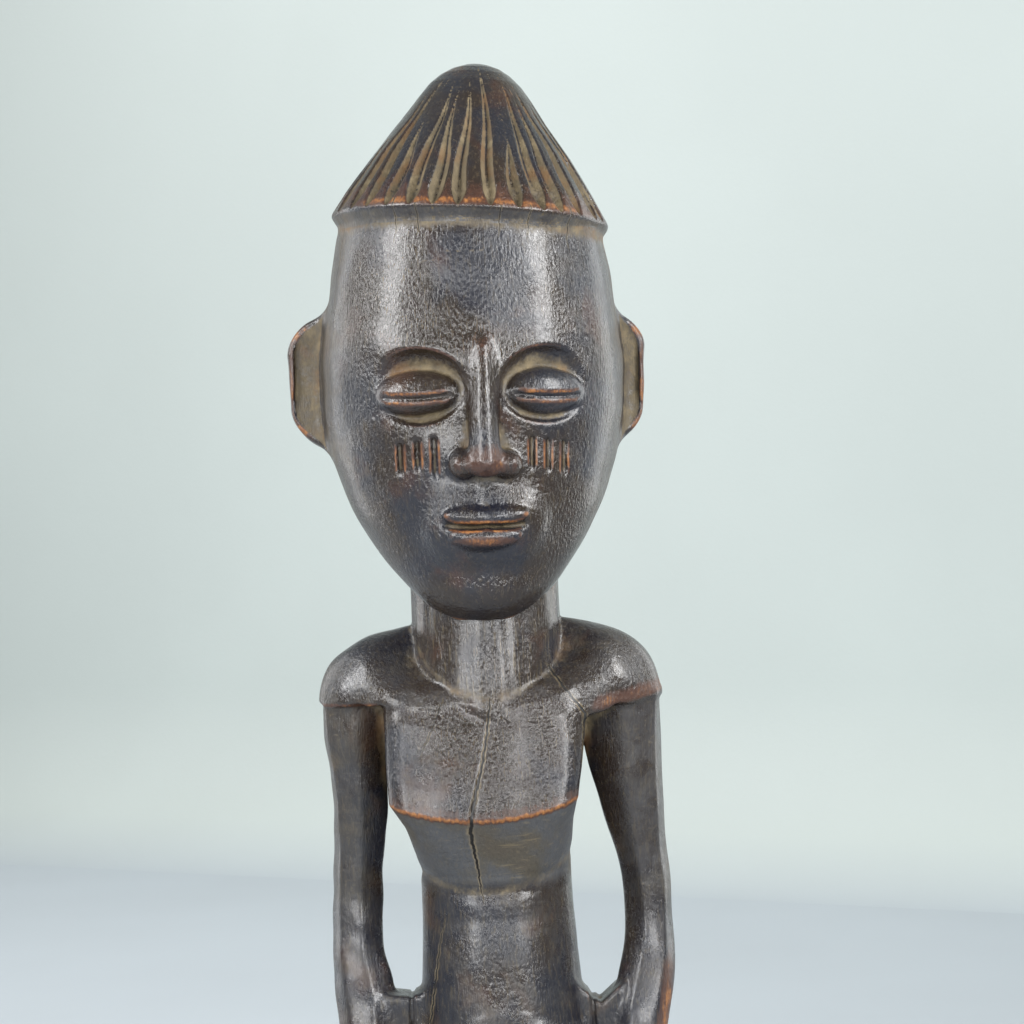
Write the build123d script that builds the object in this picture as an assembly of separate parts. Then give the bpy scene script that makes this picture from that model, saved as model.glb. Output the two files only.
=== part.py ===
"""Standing carved wooden ancestor figure with a ribbed conical cap and an integral round base.

The real figure is one block of hardwood. Its carved zones are separate solids here, each in its own
node, and neighbours meet face to face with no gap, as they would if the block were sawn apart along
its carved creases. Millimetres, +Z up. The figure faces -Y and its own left is +X. The origin is the
centre of the flat underside of the base.
"""

import os
from math import sqrt

from build123d import *

# Heights of the carved zones, from the ground up
base_height = 24.0
foot_height = 13.0
calf_height = 37.0
thigh_height = 40.0
hips_height = 38.0
waist_height = 52.0
chest_slope_height = 23.0
chest_height = 33.0
neck_visible_height = 27.0
face_height = 111.0
cap_height = 52.0

# Base, legs and feet
base_diameter = 112.0
base_taper = 2.5
base_edge_break = 2.0
leg_spacing = 38.0
ankle_width = 18.0
calf_width = 26.0
calf_depth = 28.5
knee_width = 23.0
thigh_width = 32.0
thigh_depth = 40.0
thigh_toe_in = 1.3
knee_forward = 7.0
ankle_back = 3.0
heel_width = 20.0
foot_length = 48.0
foot_width = 22.0
toe_height = 7.0
toe_edge_height = 3.5

# Trunk: widths run along X and depths along Y
groin_width = 66.0
groin_depth = 44.0
hips_width = 73.0
hips_depth = 56.0
seat_back = 2.0
hips_top_width = 58.0
hips_top_depth = 48.0
belly_width = 48.0
belly_depth = 44.0
belly_forward = 1.5
waist_width = 45.5
waist_depth = 38.0
chest_ledge_width = 56.0
chest_ledge_depth = 50.0
chest_top_width = 59.0
chest_top_depth = 42.0
chest_corner_radius = 8.0
chest_lean = 1.5
chest_shift = -2.0
shoulder_span = 102.5
shoulder_depth = 47.0
shoulder_rise = 24.5

# Neck
neck_diameter = 44.5
neck_foot_diameter = 47.5
neck_back = 2.0
neck_in_head = 34.5

# Head, ears and cap; a turn is towards +X and a roll lowers the +X side
head_width = 90.0
head_depth = 84.0
head_turn = 4.5
head_roll = 1.5
head_shift = -1.0
chin_forward = 24.0
nose_width = 17.0
nose_bridge_width = 6.0
nose_reach = 9.0
cap_diameter = 83.0
cap_roll = 4.9
cap_rim_height = 4.5
cap_rim_undercut = 2.4
cap_crown_diameter = 25.0
cap_crown_height = 6.75
cap_groove_count = 34
cap_groove_radius = 1.7
cap_groove_tip_radius = 0.3
ear_height = 36.0
ear_middle_height = 69.0
ear_thickness = 9.0
ear_rim_width = 3.5
ear_hollow_depth = 3.5
ear_root_depth = 8.0
ear_back = 6.0
ear_reach = {"left": 7.5, "right": 10.5}

# Arms and hands; each bow is how far out of the shoulder's middle that part of the arm stands
shoulder_overhang = {"left": 0.25, "right": -0.75}
upper_arm_bow = {"left": 2.0, "right": 0.2}
elbow_bow = {"left": 5.8, "right": 3.0}
forearm_bow = {"left": 4.2, "right": 1.6}
wrist_bow = {"left": 1.0, "right": -0.5}
elbow_above_hips = 40.5
wrist_above_hips = 3.0
shoulder_width = 24.0
upper_arm_width = 18.0
elbow_width = 15.2
forearm_width = 17.0
wrist_width = 14.0
arm_depth = 18.0
elbow_depth = 16.5
wrist_depth = 13.5
shoulder_back = 1.0
elbow_back = 3.0
forearm_forward = 2.25
wrist_forward = 9.0
palm_width = 20.0
palm_thickness = 10.0
palm_bow = 3.0
hand_length = 34.0
hand_drop = 25.0
fingertip_width = 14.0
fingertip_thickness = 6.0
fingertip_sink = 2.5

# The wood left between each forearm and the waist
web_height = 24.0
web_root = 6.0
web_depth = 15.0
web_forward = 3.0
web_overlap = 3.0
web_notch_radius = 5.5

# Levels worked out from the heights
ankle_z = base_height + foot_height
knee_z = ankle_z + calf_height
groin_z = knee_z + thigh_height
hips_top_z = groin_z + hips_height
waist_top_z = hips_top_z + waist_height
chest_ledge_z = waist_top_z + chest_slope_height
shoulder_z = chest_ledge_z + chest_height
chin_z = shoulder_z + neck_visible_height

sides = {"left": 1, "right": -1}
standing = (Align.CENTER, Align.CENTER, Align.MIN)
hanging = (Align.CENTER, Align.CENTER, Align.MAX)
head_place = Pos(head_shift, 0, chin_z) * Rot(0, head_roll, head_turn)
cap_place = head_place * Pos(0, 0, face_height) * Rot(0, cap_roll - head_roll, 0)


def oval(x, y, z, width, depth):
    """A level oval section with its middle at x, y, z."""
    return Pos(x, y, z) * Ellipse(width / 2, depth / 2)


def rounded_section(x, y, z, width, depth, corner_radius):
    """A level section with straight sides and round corners."""
    return Pos(x, y, z) * RectangleRounded(width, depth, corner_radius)


def make_base():
    """The round base, slightly narrower at the top, with both edges broken."""
    foot = base_diameter / 2
    top = foot - base_taper
    outline = Polyline(
        (0, 0),
        (foot - base_edge_break, 0),
        (foot, base_edge_break),
        (top, base_height - base_edge_break),
        (top - base_edge_break, base_height),
        (0, base_height),
        close=True,
    )
    return revolve(Plane.XZ * make_face(outline), Axis.Z)


def make_foot(side):
    """A wedge foot: a tapering round-ended plan, cut along a top that falls to the toes."""
    x = sides[side] * leg_spacing / 2
    heel_y = ankle_back
    toe_radius = foot_width / 2
    toe_y = heel_y + heel_width / 2 + toe_radius - foot_length
    heel = (Pos(x, heel_y) * Circle(heel_width / 2)).edge()
    toes = (Pos(x, toe_y) * Circle(toe_radius)).edge()
    block = extrude(Pos(0, 0, base_height) * make_hull([heel, toes]), foot_height)
    side_outline = Polyline(
        (heel_y + foot_length, base_height),
        (heel_y - foot_length, base_height),
        (heel_y - foot_length, base_height + toe_edge_height),
        (toe_y - toe_radius / 2, base_height + toe_height),
        (heel_y - ankle_width / 2, ankle_z),
        (heel_y + foot_length, ankle_z),
        close=True,
    )
    wedge = extrude(Plane.YZ * make_face(side_outline), foot_width * 3, both=True)
    return block & wedge


def knee_section(side):
    return oval(sides[side] * leg_spacing / 2, -knee_forward, knee_z, knee_width, knee_width)


def make_calf(side):
    """A short full calf from the top of the foot to the bent knee."""
    x = sides[side] * leg_spacing / 2
    ankle = oval(x, ankle_back, ankle_z, ankle_width, ankle_width)
    bulge = oval(x, ankle_back, ankle_z + calf_height * 0.55, calf_width, calf_depth)
    return loft([ankle, bulge, knee_section(side)])


def make_thigh(side):
    """A heavy thigh from the bent knee up to the flat groin."""
    x = sides[side] * leg_spacing / 2
    groin_x = x - sides[side] * thigh_toe_in
    bulge_z = knee_z + thigh_height * 0.55
    bulge = oval(x, -knee_forward * 0.4, bulge_z, thigh_width * 0.98, thigh_depth * 0.85)
    groin = oval(groin_x, 0, groin_z, thigh_width, thigh_depth)
    return loft([knee_section(side), bulge, groin])


def hips_top_section():
    return oval(0, 0, hips_top_z, hips_top_width, hips_top_depth)


def make_hips_core():
    """The pelvis from the flat groin up to the belly, fuller behind for the seat."""
    groin = oval(0, seat_back / 2, groin_z, groin_width, groin_depth)
    seat = oval(0, seat_back, groin_z + hips_height * 0.4, hips_width, hips_depth)
    return loft([groin, seat, hips_top_section()])


def make_waist():
    """The column of the waist, from the belly up to the underside of the chest slope."""
    belly = oval(0, -belly_forward, hips_top_z + waist_height * 0.42, belly_width, belly_depth)
    top = oval(0, 0, waist_top_z, waist_width, waist_depth)
    return loft([hips_top_section(), belly, top])


def make_web(side):
    """The wood left between forearm and waist under an arm opening, with a round notch on top."""
    out = sides[side]
    inner = belly_width / 2 - web_overlap
    outer = arm_out(side, elbow_bow) - elbow_width / 4
    middle = Pos(out * (inner + outer) / 2, -web_forward, hips_top_z - web_root)
    block = middle * Box(outer - inner, web_depth, web_height + web_root, align=standing)
    notch_x = out * (belly_width / 2 + web_notch_radius)
    notch = Rot(90, 0, 0) * Cylinder(web_notch_radius, web_depth * 2)
    return block - Pos(notch_x, 0, hips_top_z + web_height) * notch


def make_chest():
    """The chest slab with its sharp lower ledge, and the slope that runs in under it to the waist."""
    foot_radius = waist_depth / 2 - 1
    foot = rounded_section(chest_shift / 4, 0, waist_top_z, waist_width, waist_depth, foot_radius)
    ledge = rounded_section(
        chest_shift, -chest_lean, chest_ledge_z, chest_ledge_width, chest_ledge_depth, chest_corner_radius
    )
    top = rounded_section(
        chest_shift, 0, shoulder_z, chest_top_width, chest_top_depth, chest_corner_radius
    )
    return loft([foot, ledge], ruled=True) + loft([ledge, top], ruled=True)


def make_shoulder_yoke():
    """The yoke of both shoulders: the upper half of a long ellipsoid, flat below."""
    yoke = scale(Sphere(1), by=(shoulder_span / 2, shoulder_depth / 2, shoulder_rise))
    upper_half = Box(shoulder_span * 2, shoulder_depth * 2, shoulder_rise * 2, align=standing)
    return Pos(0, 0, shoulder_z) * (yoke & upper_half)


def make_neck_column():
    """The round neck, flared at its foot; it stands on the chest and runs up inside the jaw."""
    top_z = chin_z + neck_in_head
    flare_z = shoulder_z + shoulder_rise
    radius = neck_diameter / 2
    foot_radius = neck_foot_diameter / 2
    flare = Spline((foot_radius, shoulder_z), (radius, flare_z), (radius, top_z))
    outline = make_face(
        [
            Line((0, shoulder_z), (foot_radius, shoulder_z)),
            flare,
            Line((radius, top_z), (0, top_z)),
            Line((0, top_z), (0, shoulder_z)),
        ]
    )
    return Pos(0, neck_back, 0) * revolve(Plane.XZ * outline, Axis.Z)


def arm_out(side, bow):
    """How far out from the figure's middle plane the arm's middle line runs, at a place with that bow."""
    return shoulder_span / 2 - shoulder_overhang[side] - shoulder_width / 2 + bow[side]


def arm_stations(side):
    """Middle points and oval sizes down one arm: shoulder, upper arm, elbow, forearm and wrist."""
    elbow_z = hips_top_z + elbow_above_hips
    wrist_z = hips_top_z + wrist_above_hips
    upper_z = (shoulder_z + elbow_z) / 2
    forearm_z = (elbow_z + wrist_z) / 2
    rows = [
        ({"left": 0, "right": 0}, shoulder_back, shoulder_z, shoulder_width, arm_depth),
        (upper_arm_bow, shoulder_back, upper_z, upper_arm_width, arm_depth),
        (elbow_bow, elbow_back, elbow_z, elbow_width, elbow_depth),
        (forearm_bow, -forearm_forward, forearm_z, forearm_width, elbow_depth),
        (wrist_bow, -wrist_forward, wrist_z, wrist_width, wrist_depth),
    ]
    return [(sides[side] * arm_out(side, bow), y, z, width, depth) for bow, y, z, width, depth in rows]


def arm_sections(side):
    """Oval sections square to the arm's smooth middle line; the top one is level."""
    stations = arm_stations(side)
    path = Spline([station[:3] for station in stations])
    sections = []
    for number, (x, y, z, width, depth) in enumerate(stations):
        way = Vector(0, 0, -1) if number == 0 else path.tangent_at(path.param_at_point((x, y, z)))
        sideways = Vector(1, 0, 0) - way * way.X
        square = Plane(origin=(x, y, z), x_dir=sideways, z_dir=way)
        sections.append(square * Ellipse(width / 2, depth / 2))
    return sections


def make_arm(side):
    """One hanging arm, bowed out at the elbow, with the forearm coming forward to the hip."""
    return loft(arm_sections(side))


def make_hand(side):
    """A flat mitten hand laid on the front of the hip, its fingers running in and down."""
    wrist_section = arm_sections(side)[-1]
    wrist = Vector(arm_stations(side)[-1][:3])
    reach_in = sqrt(hand_length**2 - hand_drop**2)
    tip_x = wrist.X - sides[side] * reach_in
    hip_front_y = -hips_depth / 2 * sqrt(1 - (2 * tip_x / hips_width) ** 2)
    tip = Vector(tip_x, hip_front_y + fingertip_sink, wrist.Z - hand_drop)
    middle = (wrist + tip) / 2 + Vector(sides[side] * palm_bow, -palm_bow, 0)
    way = (tip - wrist).normalized()
    outward = Vector(middle.X / hips_width**2, middle.Y / hips_depth**2, 0).normalized()
    across = way.cross(outward) * -sides[side]
    palm = Ellipse(palm_width / 2, palm_thickness / 2)
    fingers = Ellipse(fingertip_width / 2, fingertip_thickness / 2)
    palm_section = Plane(origin=middle, x_dir=across, z_dir=way) * palm
    finger_section = Plane(origin=tip, x_dir=across, z_dir=way) * fingers
    return loft([wrist_section, palm_section, finger_section])


def make_head_local():
    """The egg of the head: full at the temples, with a soft narrow chin that stands forward."""
    # Shares of: face height above the chin, head width, head depth, chin reach forward
    rows = [
        (1.07, 0.80, 0.82, 0.00),
        (0.95, 0.91, 0.93, 0.00),
        (0.80, 0.98, 1.00, -0.04),
        (0.62, 1.00, 1.00, -0.04),
        (0.44, 0.95, 0.92, 0.06),
        (0.28, 0.81, 0.76, 0.22),
        (0.15, 0.62, 0.56, 0.44),
        (0.05, 0.42, 0.38, 0.68),
        (0.00, 0.26, 0.24, 0.84),
    ]
    sections = [
        oval(0, -reach * chin_forward, up * face_height, wide * head_width, deep * head_depth)
        for up, wide, deep, reach in rows
    ]
    return loft(sections)


def make_nose_local():
    """A straight narrow nose over the middle third of the face, widening to its base."""
    face_y = -head_depth / 2
    bridge = Rectangle(nose_bridge_width, nose_reach)
    root = Pos(0, face_y + nose_reach / 2, face_height * 2 / 3) * bridge
    outline = Polyline(
        (-nose_width / 2, face_y + nose_reach),
        (nose_width / 2, face_y + nose_reach),
        (nose_bridge_width / 2, face_y - nose_reach / 2),
        (-nose_bridge_width / 2, face_y - nose_reach / 2),
        close=True,
    )
    base = Pos(0, 0, face_height / 3) * make_face(outline)
    return loft([base, root], ruled=True)


def make_cap_local():
    """The conical cap: a shallow rim band, a slightly full ribbed cone and a round crown."""
    radius = cap_diameter / 2
    crown_radius = cap_crown_diameter / 2
    crown_z = cap_height - cap_crown_height
    rim_top = (radius, cap_rim_height)
    rim_foot = (radius - cap_rim_undercut, 0)
    middle = ((radius + crown_radius) * 0.51, (cap_rim_height + crown_z) * 0.49)
    cone_line = Spline(
        rim_top, middle, (crown_radius, crown_z), (0, cap_height), tangents=[(-0.42, 1), (-1, 0)]
    )
    outline = make_face(
        [Line((0, 0), rim_foot), Line(rim_foot, rim_top), cone_line, Line((0, cap_height), (0, 0))]
    )
    cone = revolve(Plane.XZ * outline, Axis.Z)
    slope = Vector(crown_radius - radius, 0, crown_z - cap_rim_height)
    groove = Plane(origin=(radius, 0, cap_rim_height), z_dir=slope) * Cone(
        cap_groove_radius, cap_groove_tip_radius, slope.length, align=standing
    )
    step = 360 / cap_groove_count
    return cone - [Rot(0, 0, step * number) * groove for number in range(cap_groove_count)]


def make_ear_local(side):
    """A flat C-shaped ear plate with a raised rim round a shallow hollow that faces forward."""
    root = head_width / 2 - ear_root_depth
    reach = ear_root_depth + ear_reach[side]
    radius = ear_height / 2
    middle = Pos(root, ear_middle_height)
    front = Plane.XZ.offset(ear_thickness / 2 - ear_back)
    plate = extrude(front * (middle * Ellipse(reach, radius)), -ear_thickness)
    hollow_shape = middle * Ellipse(reach - ear_rim_width, radius - ear_rim_width)
    ear = plate - extrude(front * hollow_shape, -ear_hollow_depth)
    return ear if side == "left" else mirror(ear, Plane.YZ)


def build():
    """All the nodes by name, each already cut where it meets a neighbour."""
    under_cap = cap_place * Box(head_width * 2, head_depth * 2, face_height * 2, align=hanging)
    head = head_place * (make_head_local() + make_nose_local()) & under_cap
    column = make_neck_column()
    chest = make_chest()
    waist = make_waist()
    arms = {side: make_arm(side) for side in sides}
    hips_core = make_hips_core()
    hips = hips_core
    for side in sides:
        hips += make_web(side) - waist - arms[side]
    nodes = {
        "base": make_base(),
        "hips": hips,
        "waist": waist,
        "chest": chest,
        "shoulders": make_shoulder_yoke() - column,
        "neck": column - head,
        "head": head,
        "cap": cap_place * make_cap_local(),
    }
    for side in sides:
        nodes[f"{side}_foot"] = make_foot(side)
        nodes[f"{side}_calf"] = make_calf(side)
        nodes[f"{side}_thigh"] = make_thigh(side)
        nodes[f"{side}_arm"] = arms[side] - chest - waist - hips_core
        nodes[f"{side}_hand"] = make_hand(side) - hips - waist - arms[side]
        nodes[f"{side}_ear"] = head_place * make_ear_local(side) - head
    return nodes


if __name__ == "__main__":
    os.makedirs("parts", exist_ok=True)
    for name, shape in build().items():
        export_step(shape, f"parts/{name}.step")
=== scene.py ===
import math

import bpy
import numpy as np
import openvdb
from mathutils import Matrix, Vector


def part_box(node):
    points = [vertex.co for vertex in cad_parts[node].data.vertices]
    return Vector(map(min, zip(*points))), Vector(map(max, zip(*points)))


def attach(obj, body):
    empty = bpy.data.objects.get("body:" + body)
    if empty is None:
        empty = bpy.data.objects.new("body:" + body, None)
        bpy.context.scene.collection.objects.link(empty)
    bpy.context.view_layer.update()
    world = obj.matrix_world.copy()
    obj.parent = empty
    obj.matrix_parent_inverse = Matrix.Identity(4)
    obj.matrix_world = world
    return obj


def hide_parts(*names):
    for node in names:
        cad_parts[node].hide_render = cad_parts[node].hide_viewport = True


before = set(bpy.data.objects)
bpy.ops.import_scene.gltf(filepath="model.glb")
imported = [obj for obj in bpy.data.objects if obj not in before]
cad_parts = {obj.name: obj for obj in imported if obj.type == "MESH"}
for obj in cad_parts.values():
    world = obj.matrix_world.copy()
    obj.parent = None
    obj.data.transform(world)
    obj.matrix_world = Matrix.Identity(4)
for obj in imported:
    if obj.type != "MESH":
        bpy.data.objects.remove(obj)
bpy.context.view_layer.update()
mm = 0.001
print("frame loaded,", len(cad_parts), "zones to carve")

# the carving bench: fields of signed distance in millimetres, under 0 inside the wood

carving = {
    "step": 0.6,  # spacing of the points that the wood is carved on
    "quickStep": 1.1,
    "margin": 6.0,  # room round each piece
    "lap": 2.4,  # how far a piece runs on under its neighbour
    "drawIn": 0.05,  # how much it draws in there, mm per mm
    "quickest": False,
}


def nodeBox(name):
    low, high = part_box(name)
    return np.array(low) / mm, np.array(high) / mm


def stepOf(share=1.0):
    return (carving["quickStep"] if carving["quickest"] else carving["step"]) * share


class Block:
    # the grid of points that a piece is carved on, in the piece's own axes
    def __init__(self, low, high, step):
        self.step = step
        self.low = np.floor((np.array(low) - carving["margin"]) / step) * step
        count = np.ceil((np.array(high) + carving["margin"] - self.low) / step).astype(int) + 1
        axes = [self.low[i] + step * np.arange(count[i], dtype=np.float32) for i in range(3)]
        self.x, self.y, self.z = np.meshgrid(*axes, indexing="ij", sparse=True)
        self.high = self.low + step * (count - 1)
        self.shape = tuple(count)

    def reaches(self, low, high):
        return bool(np.all(low < self.high + 8) and np.all(high > self.low - 8))


def curve(rows, at, straight=False):
    # smooth values through rows of (place, value, value, ...), read off at every point of at
    table = np.array(rows, float)
    place = table[:, 0]
    if straight:
        return [np.interp(at, place, values).astype(np.float32) for values in table[:, 1:].T]
    fine = np.linspace(place[0], place[-1], 500)
    i = np.clip(np.searchsorted(place, fine) - 1, 0, len(place) - 2)
    gap = place[i + 1] - place[i]
    t = (fine - place[i]) / gap
    found = []
    for values in table[:, 1:].T:
        slope = np.gradient(values, place)
        ends = values[i] * (1 + 2 * t) * (1 - t) ** 2 + values[i + 1] * t * t * (3 - 2 * t)
        bends = slope[i] * gap * t * (1 - t) ** 2 + slope[i + 1] * gap * t * t * (t - 1)
        found.append(np.interp(at, fine, ends + bends).astype(np.float32))
    return found


def join(a, b, soft):
    # both pieces of wood, with a fillet
    h = np.clip(0.5 + 0.5 * (b - a) / soft, 0, 1)
    return b + (a - b) * h - soft * h * (1 - h)


def common(a, b, soft):
    # only where both are wood, with a rounded edge
    return -join(-a, -b, soft)


def cut(a, b, soft):
    # a with b taken out of it
    return -join(-a, b, soft)


def between(value, low, high):
    return np.maximum(low - value, value - high)


def ovalPost(u, v, wide, deep):
    # a post of oval section, from the offsets to its middle line
    q = np.sqrt((u / wide) ** 2 + (v / deep) ** 2)
    out = np.sqrt(u * u + v * v)
    return out * (1 - 1 / np.maximum(q, 0.01))


def roundedPost(u, v, wide, deep, corner):
    # a post of square section with round corners
    a = np.abs(u) - (wide - corner)
    b = np.abs(v) - (deep - corner)
    return np.sqrt(np.maximum(a, 0) ** 2 + np.maximum(b, 0) ** 2) + np.minimum(np.maximum(a, b), 0) - corner


def egg(x, y, z, middle, radii, turn=0.0):
    # an ellipsoid, turned about the upright through its middle
    c, s = math.cos(math.radians(turn)), math.sin(math.radians(turn))
    u, v, w = x - middle[0], y - middle[1], z - middle[2]
    u, v = u * c + v * s, v * c - u * s
    near = np.sqrt((u / radii[0]) ** 2 + (v / radii[1]) ** 2 + (w / radii[2]) ** 2)
    steep = np.sqrt((u / radii[0] ** 2) ** 2 + (v / radii[1] ** 2) ** 2 + (w / radii[2] ** 2) ** 2)
    return near * (near - 1) / np.maximum(steep, 1e-4)


def rod(x, y, z, start, end, startRadius, endRadius):
    # a tapering round rod with round ends
    way = np.array(end, float) - np.array(start, float)
    t = ((x - start[0]) * way[0] + (y - start[1]) * way[1] + (z - start[2]) * way[2]) / way.dot(way)
    t = np.clip(t, 0, 1).astype(np.float32)
    off = [axis - start[k] - t * way[k] for k, axis in enumerate((x, y, z))]
    return np.sqrt(off[0] ** 2 + off[1] ** 2 + off[2] ** 2) - (startRadius + (endRadius - startRadius) * t)


def ripple(x, y, z, size, seed, waves=5):
    # the slow unevenness of hand work, between about -1 and 1
    dice = np.random.default_rng(seed)
    total = 0
    for _ in range(waves):
        way = dice.normal(size=3)
        way *= 2 * math.pi / (size * dice.uniform(0.75, 1.4)) / np.linalg.norm(way)
        total = total + np.sin(x * way[0] + y * way[1] + z * way[2] + dice.uniform(0, 6.28))
    return (total / math.sqrt(waves / 2) / 1.6).astype(np.float32)


def soften(field, reach):
    # a blur that widens in steps, with its edges held
    for stride in reach:
        for axis in range(3):
            pad = [(stride, stride) if k == axis else (0, 0) for k in range(3)]
            wide = np.pad(field, pad, mode="edge")
            count = field.shape[axis]
            sides = [np.take(wide, range(start, start + count), axis) for start in (0, 2 * stride)]
            field = field * 0.5 + (sides[0] + sides[1]) * 0.25
    return field


def readAt(field, block, points):
    # the field's values at loose points, between the grid's own
    at = (points - block.low) / block.step
    corner = np.clip(np.floor(at).astype(int), 0, np.array(field.shape) - 2)
    t = (at - corner).astype(np.float32)
    i, j, k = corner.T
    total = 0
    for a in (0, 1):
        for b in (0, 1):
            for c in (0, 1):
                share = np.abs(1 - a - t[:, 0]) * np.abs(1 - b - t[:, 1]) * np.abs(1 - c - t[:, 2])
                total = total + share * field[i + a, j + b, k + c]
    return total


def smoothStep(value, low, high):
    t = np.clip((value - low) / (high - low), 0, 1)
    return t * t * (3 - 2 * t)


def bell(off, wide):
    # 1 on a line, fading out over its width
    return np.exp(-(off / wide) ** 2)


def meshFrom(field, block):
    # the skin of the wood where the field is 0
    band = 3 * block.step
    grid = openvdb.FloatGrid(band)
    grid.copyFromArray(np.clip(field, -band, band).astype(np.float32))
    points, quads = grid.convertToQuads(0.0)
    return points * block.step + block.low, quads


def makePiece(name, block, whole, region, marks, material, place=None):
    # cuts one zone out of the whole figure, lapping under its neighbours, and notes its marks
    piece = np.maximum(whole + carving["drawIn"] * np.maximum(region, 0), region - carving["lap"])
    points, quads = meshFrom(piece, block)
    held = np.clip(whole, -6, 6)
    near = soften(held, (1, 1) if not carving["quickest"] else (1,))
    far = soften(near, (2, 3, 5) if not carving["quickest"] else (2, 3))
    ridge = readAt(near - held, block, points)
    hollow = readAt(far - held, block, points)
    values = marks(points, ridge, hollow)
    mesh = bpy.data.meshes.new(name)
    world = points * mm
    if place is not None:
        turn = np.array(place.to_3x3())
        world = world @ turn.T + np.array(place.translation)
    mesh.vertices.add(len(world))
    mesh.vertices.foreach_set("co", world.astype(np.float32).ravel())
    mesh.loops.add(quads.size)
    mesh.loops.foreach_set("vertex_index", quads.astype(np.int32).ravel())
    mesh.polygons.add(len(quads))
    mesh.polygons.foreach_set("loop_start", np.arange(0, quads.size, 4, dtype=np.int32))
    mesh.update()
    mesh.validate()
    mesh.polygons.foreach_set("use_smooth", np.ones(len(mesh.polygons), bool))
    for mark, value in values.items():
        layer = mesh.attributes.new(mark, "FLOAT", "POINT")
        layer.data.foreach_set("value", np.ascontiguousarray(value, dtype=np.float32))
    mesh.materials.append(material)
    piece = bpy.data.objects.new(name, mesh)
    bpy.context.scene.collection.objects.link(piece)
    print("carved", name, len(quads), "faces")
    return piece


class Wire:
    # one socket of a material, so that its maths reads as plain sums
    def __init__(self, shop, socket):
        self.shop = shop
        self.socket = socket

    def math(self, operation, *others, clamp=False):
        return self.shop.math(operation, self, *others, clamp=clamp)

    def __add__(self, other):
        return self.math("ADD", other)

    def __sub__(self, other):
        return self.math("SUBTRACT", other)

    def __rsub__(self, other):
        return self.shop.math("SUBTRACT", other, self)

    def __mul__(self, other):
        return self.math("MULTIPLY", other)

    def __truediv__(self, other):
        return self.math("DIVIDE", other)

    __radd__ = __add__
    __rmul__ = __mul__

    def size(self):
        return self.math("ABSOLUTE")

    def held(self):
        # kept from 0 to 1
        return self.math("ADD", 0.0, clamp=True)

    def most(self, other):
        return self.math("MAXIMUM", other)

    def rise(self, low, high):
        # 0 under low and 1 over high, with a smooth step between
        inputs = {"Value": self, "From Min": low, "From Max": high, "To Min": 0.0, "To Max": 1.0}
        return self.shop.node("ShaderNodeMapRange", {"interpolation_type": "SMOOTHSTEP"}, inputs)


class Shop:
    # where one material is made
    def __init__(self, name):
        self.material = bpy.data.materials.new(name)
        self.material.use_nodes = True
        self.tree = self.material.node_tree
        self.tree.nodes.clear()

    def node(self, kind, settings=None, inputs=None, output=0):
        # any node: its settings first, then the values or links of its sockets
        made = self.tree.nodes.new(kind)
        for name, value in (settings or {}).items():
            setattr(made, name, value)
        for name, value in (inputs or {}).items():
            if isinstance(value, Wire):
                self.tree.links.new(value.socket, made.inputs[name])
            else:
                made.inputs[name].default_value = value
        return Wire(self, made.outputs[output]) if len(made.outputs) else made

    def math(self, operation, *values, clamp=False):
        settings = {"operation": operation, "use_clamp": clamp}
        return self.node("ShaderNodeMath", settings, dict(enumerate(values)))

    def mark(self, name):
        return self.node("ShaderNodeAttribute", {"attribute_name": name}, output="Fac")

    def scaled(self, vector, factors):
        return self.node("ShaderNodeVectorMath", {"operation": "MULTIPLY"}, {0: vector, 1: factors})

    def noise(self, vector, scale, detail=3.0, rough=0.5, twist=0.0):
        inputs = {"Vector": vector, "Scale": scale, "Detail": detail}
        inputs |= {"Roughness": rough, "Distortion": twist}
        return self.node("ShaderNodeTexNoise", {"noise_dimensions": "3D"}, inputs)

    def mix(self, share, first, second):
        # sockets 6 and 7 are the two colours, and output 2 is their mix
        first, second = [c if isinstance(c, Wire) else (*c, 1) for c in (first, second)]
        inputs = {"Factor": share, 6: first, 7: second}
        return self.node("ShaderNodeMix", {"data_type": "RGBA"}, inputs, output=2)


handled = {
    "heart": (0.015, 0.0090, 0.0062),  # the dark wood itself
    "smoke": (0.0080, 0.0088, 0.0150),  # where soot and oil have built up, a little blue
    "red": (0.050, 0.0180, 0.009),
    "film": (0.058, 0.049, 0.034),  # thin grey-brown film on the parts that hands don't reach; on the chest and below the ledge more of it is laid on as a painted sheen
    "filmGrey": (0.057, 0.060, 0.066),  # the same where it is greyer
    "worn": (0.18, 0.061, 0.011),  # bare wood on the edges
    "pale": (0.29, 0.125, 0.028),
    "dust": (0.105, 0.080, 0.043),
    "dustPale": (0.20, 0.155, 0.088),
    "dustRust": (0.150, 0.078, 0.028),
    # near black: painted shade down each crack's gap, also on the cap and head where no gap is carved
    "crack": (0.004, 0.003, 0.003),
    "gloss": 0.19,  # roughness where hands polish it
    "matt": 0.75,  # and where they don't reach
    "coat": 0.24,
    "grainSize": 0.84,  # mm across the small undulations of the surface
    "grainHeight": 0.25,
    "strokeHeight": 0.16,
    "poreHeight": 0.04,
    "toolHeight": 0.30,
    "clouds": 30,  # mm across each kind of unevenness, from the broadest to the finest
    "patches": 17,
    "scuffs": 6.5,
    "tool": 6.0,
    "speckle": 1.1,
    "fibres": 0.8,
    "pores": 0.38,
    "along": 0.13,  # how much finer the fibres are across than along
}


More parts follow.
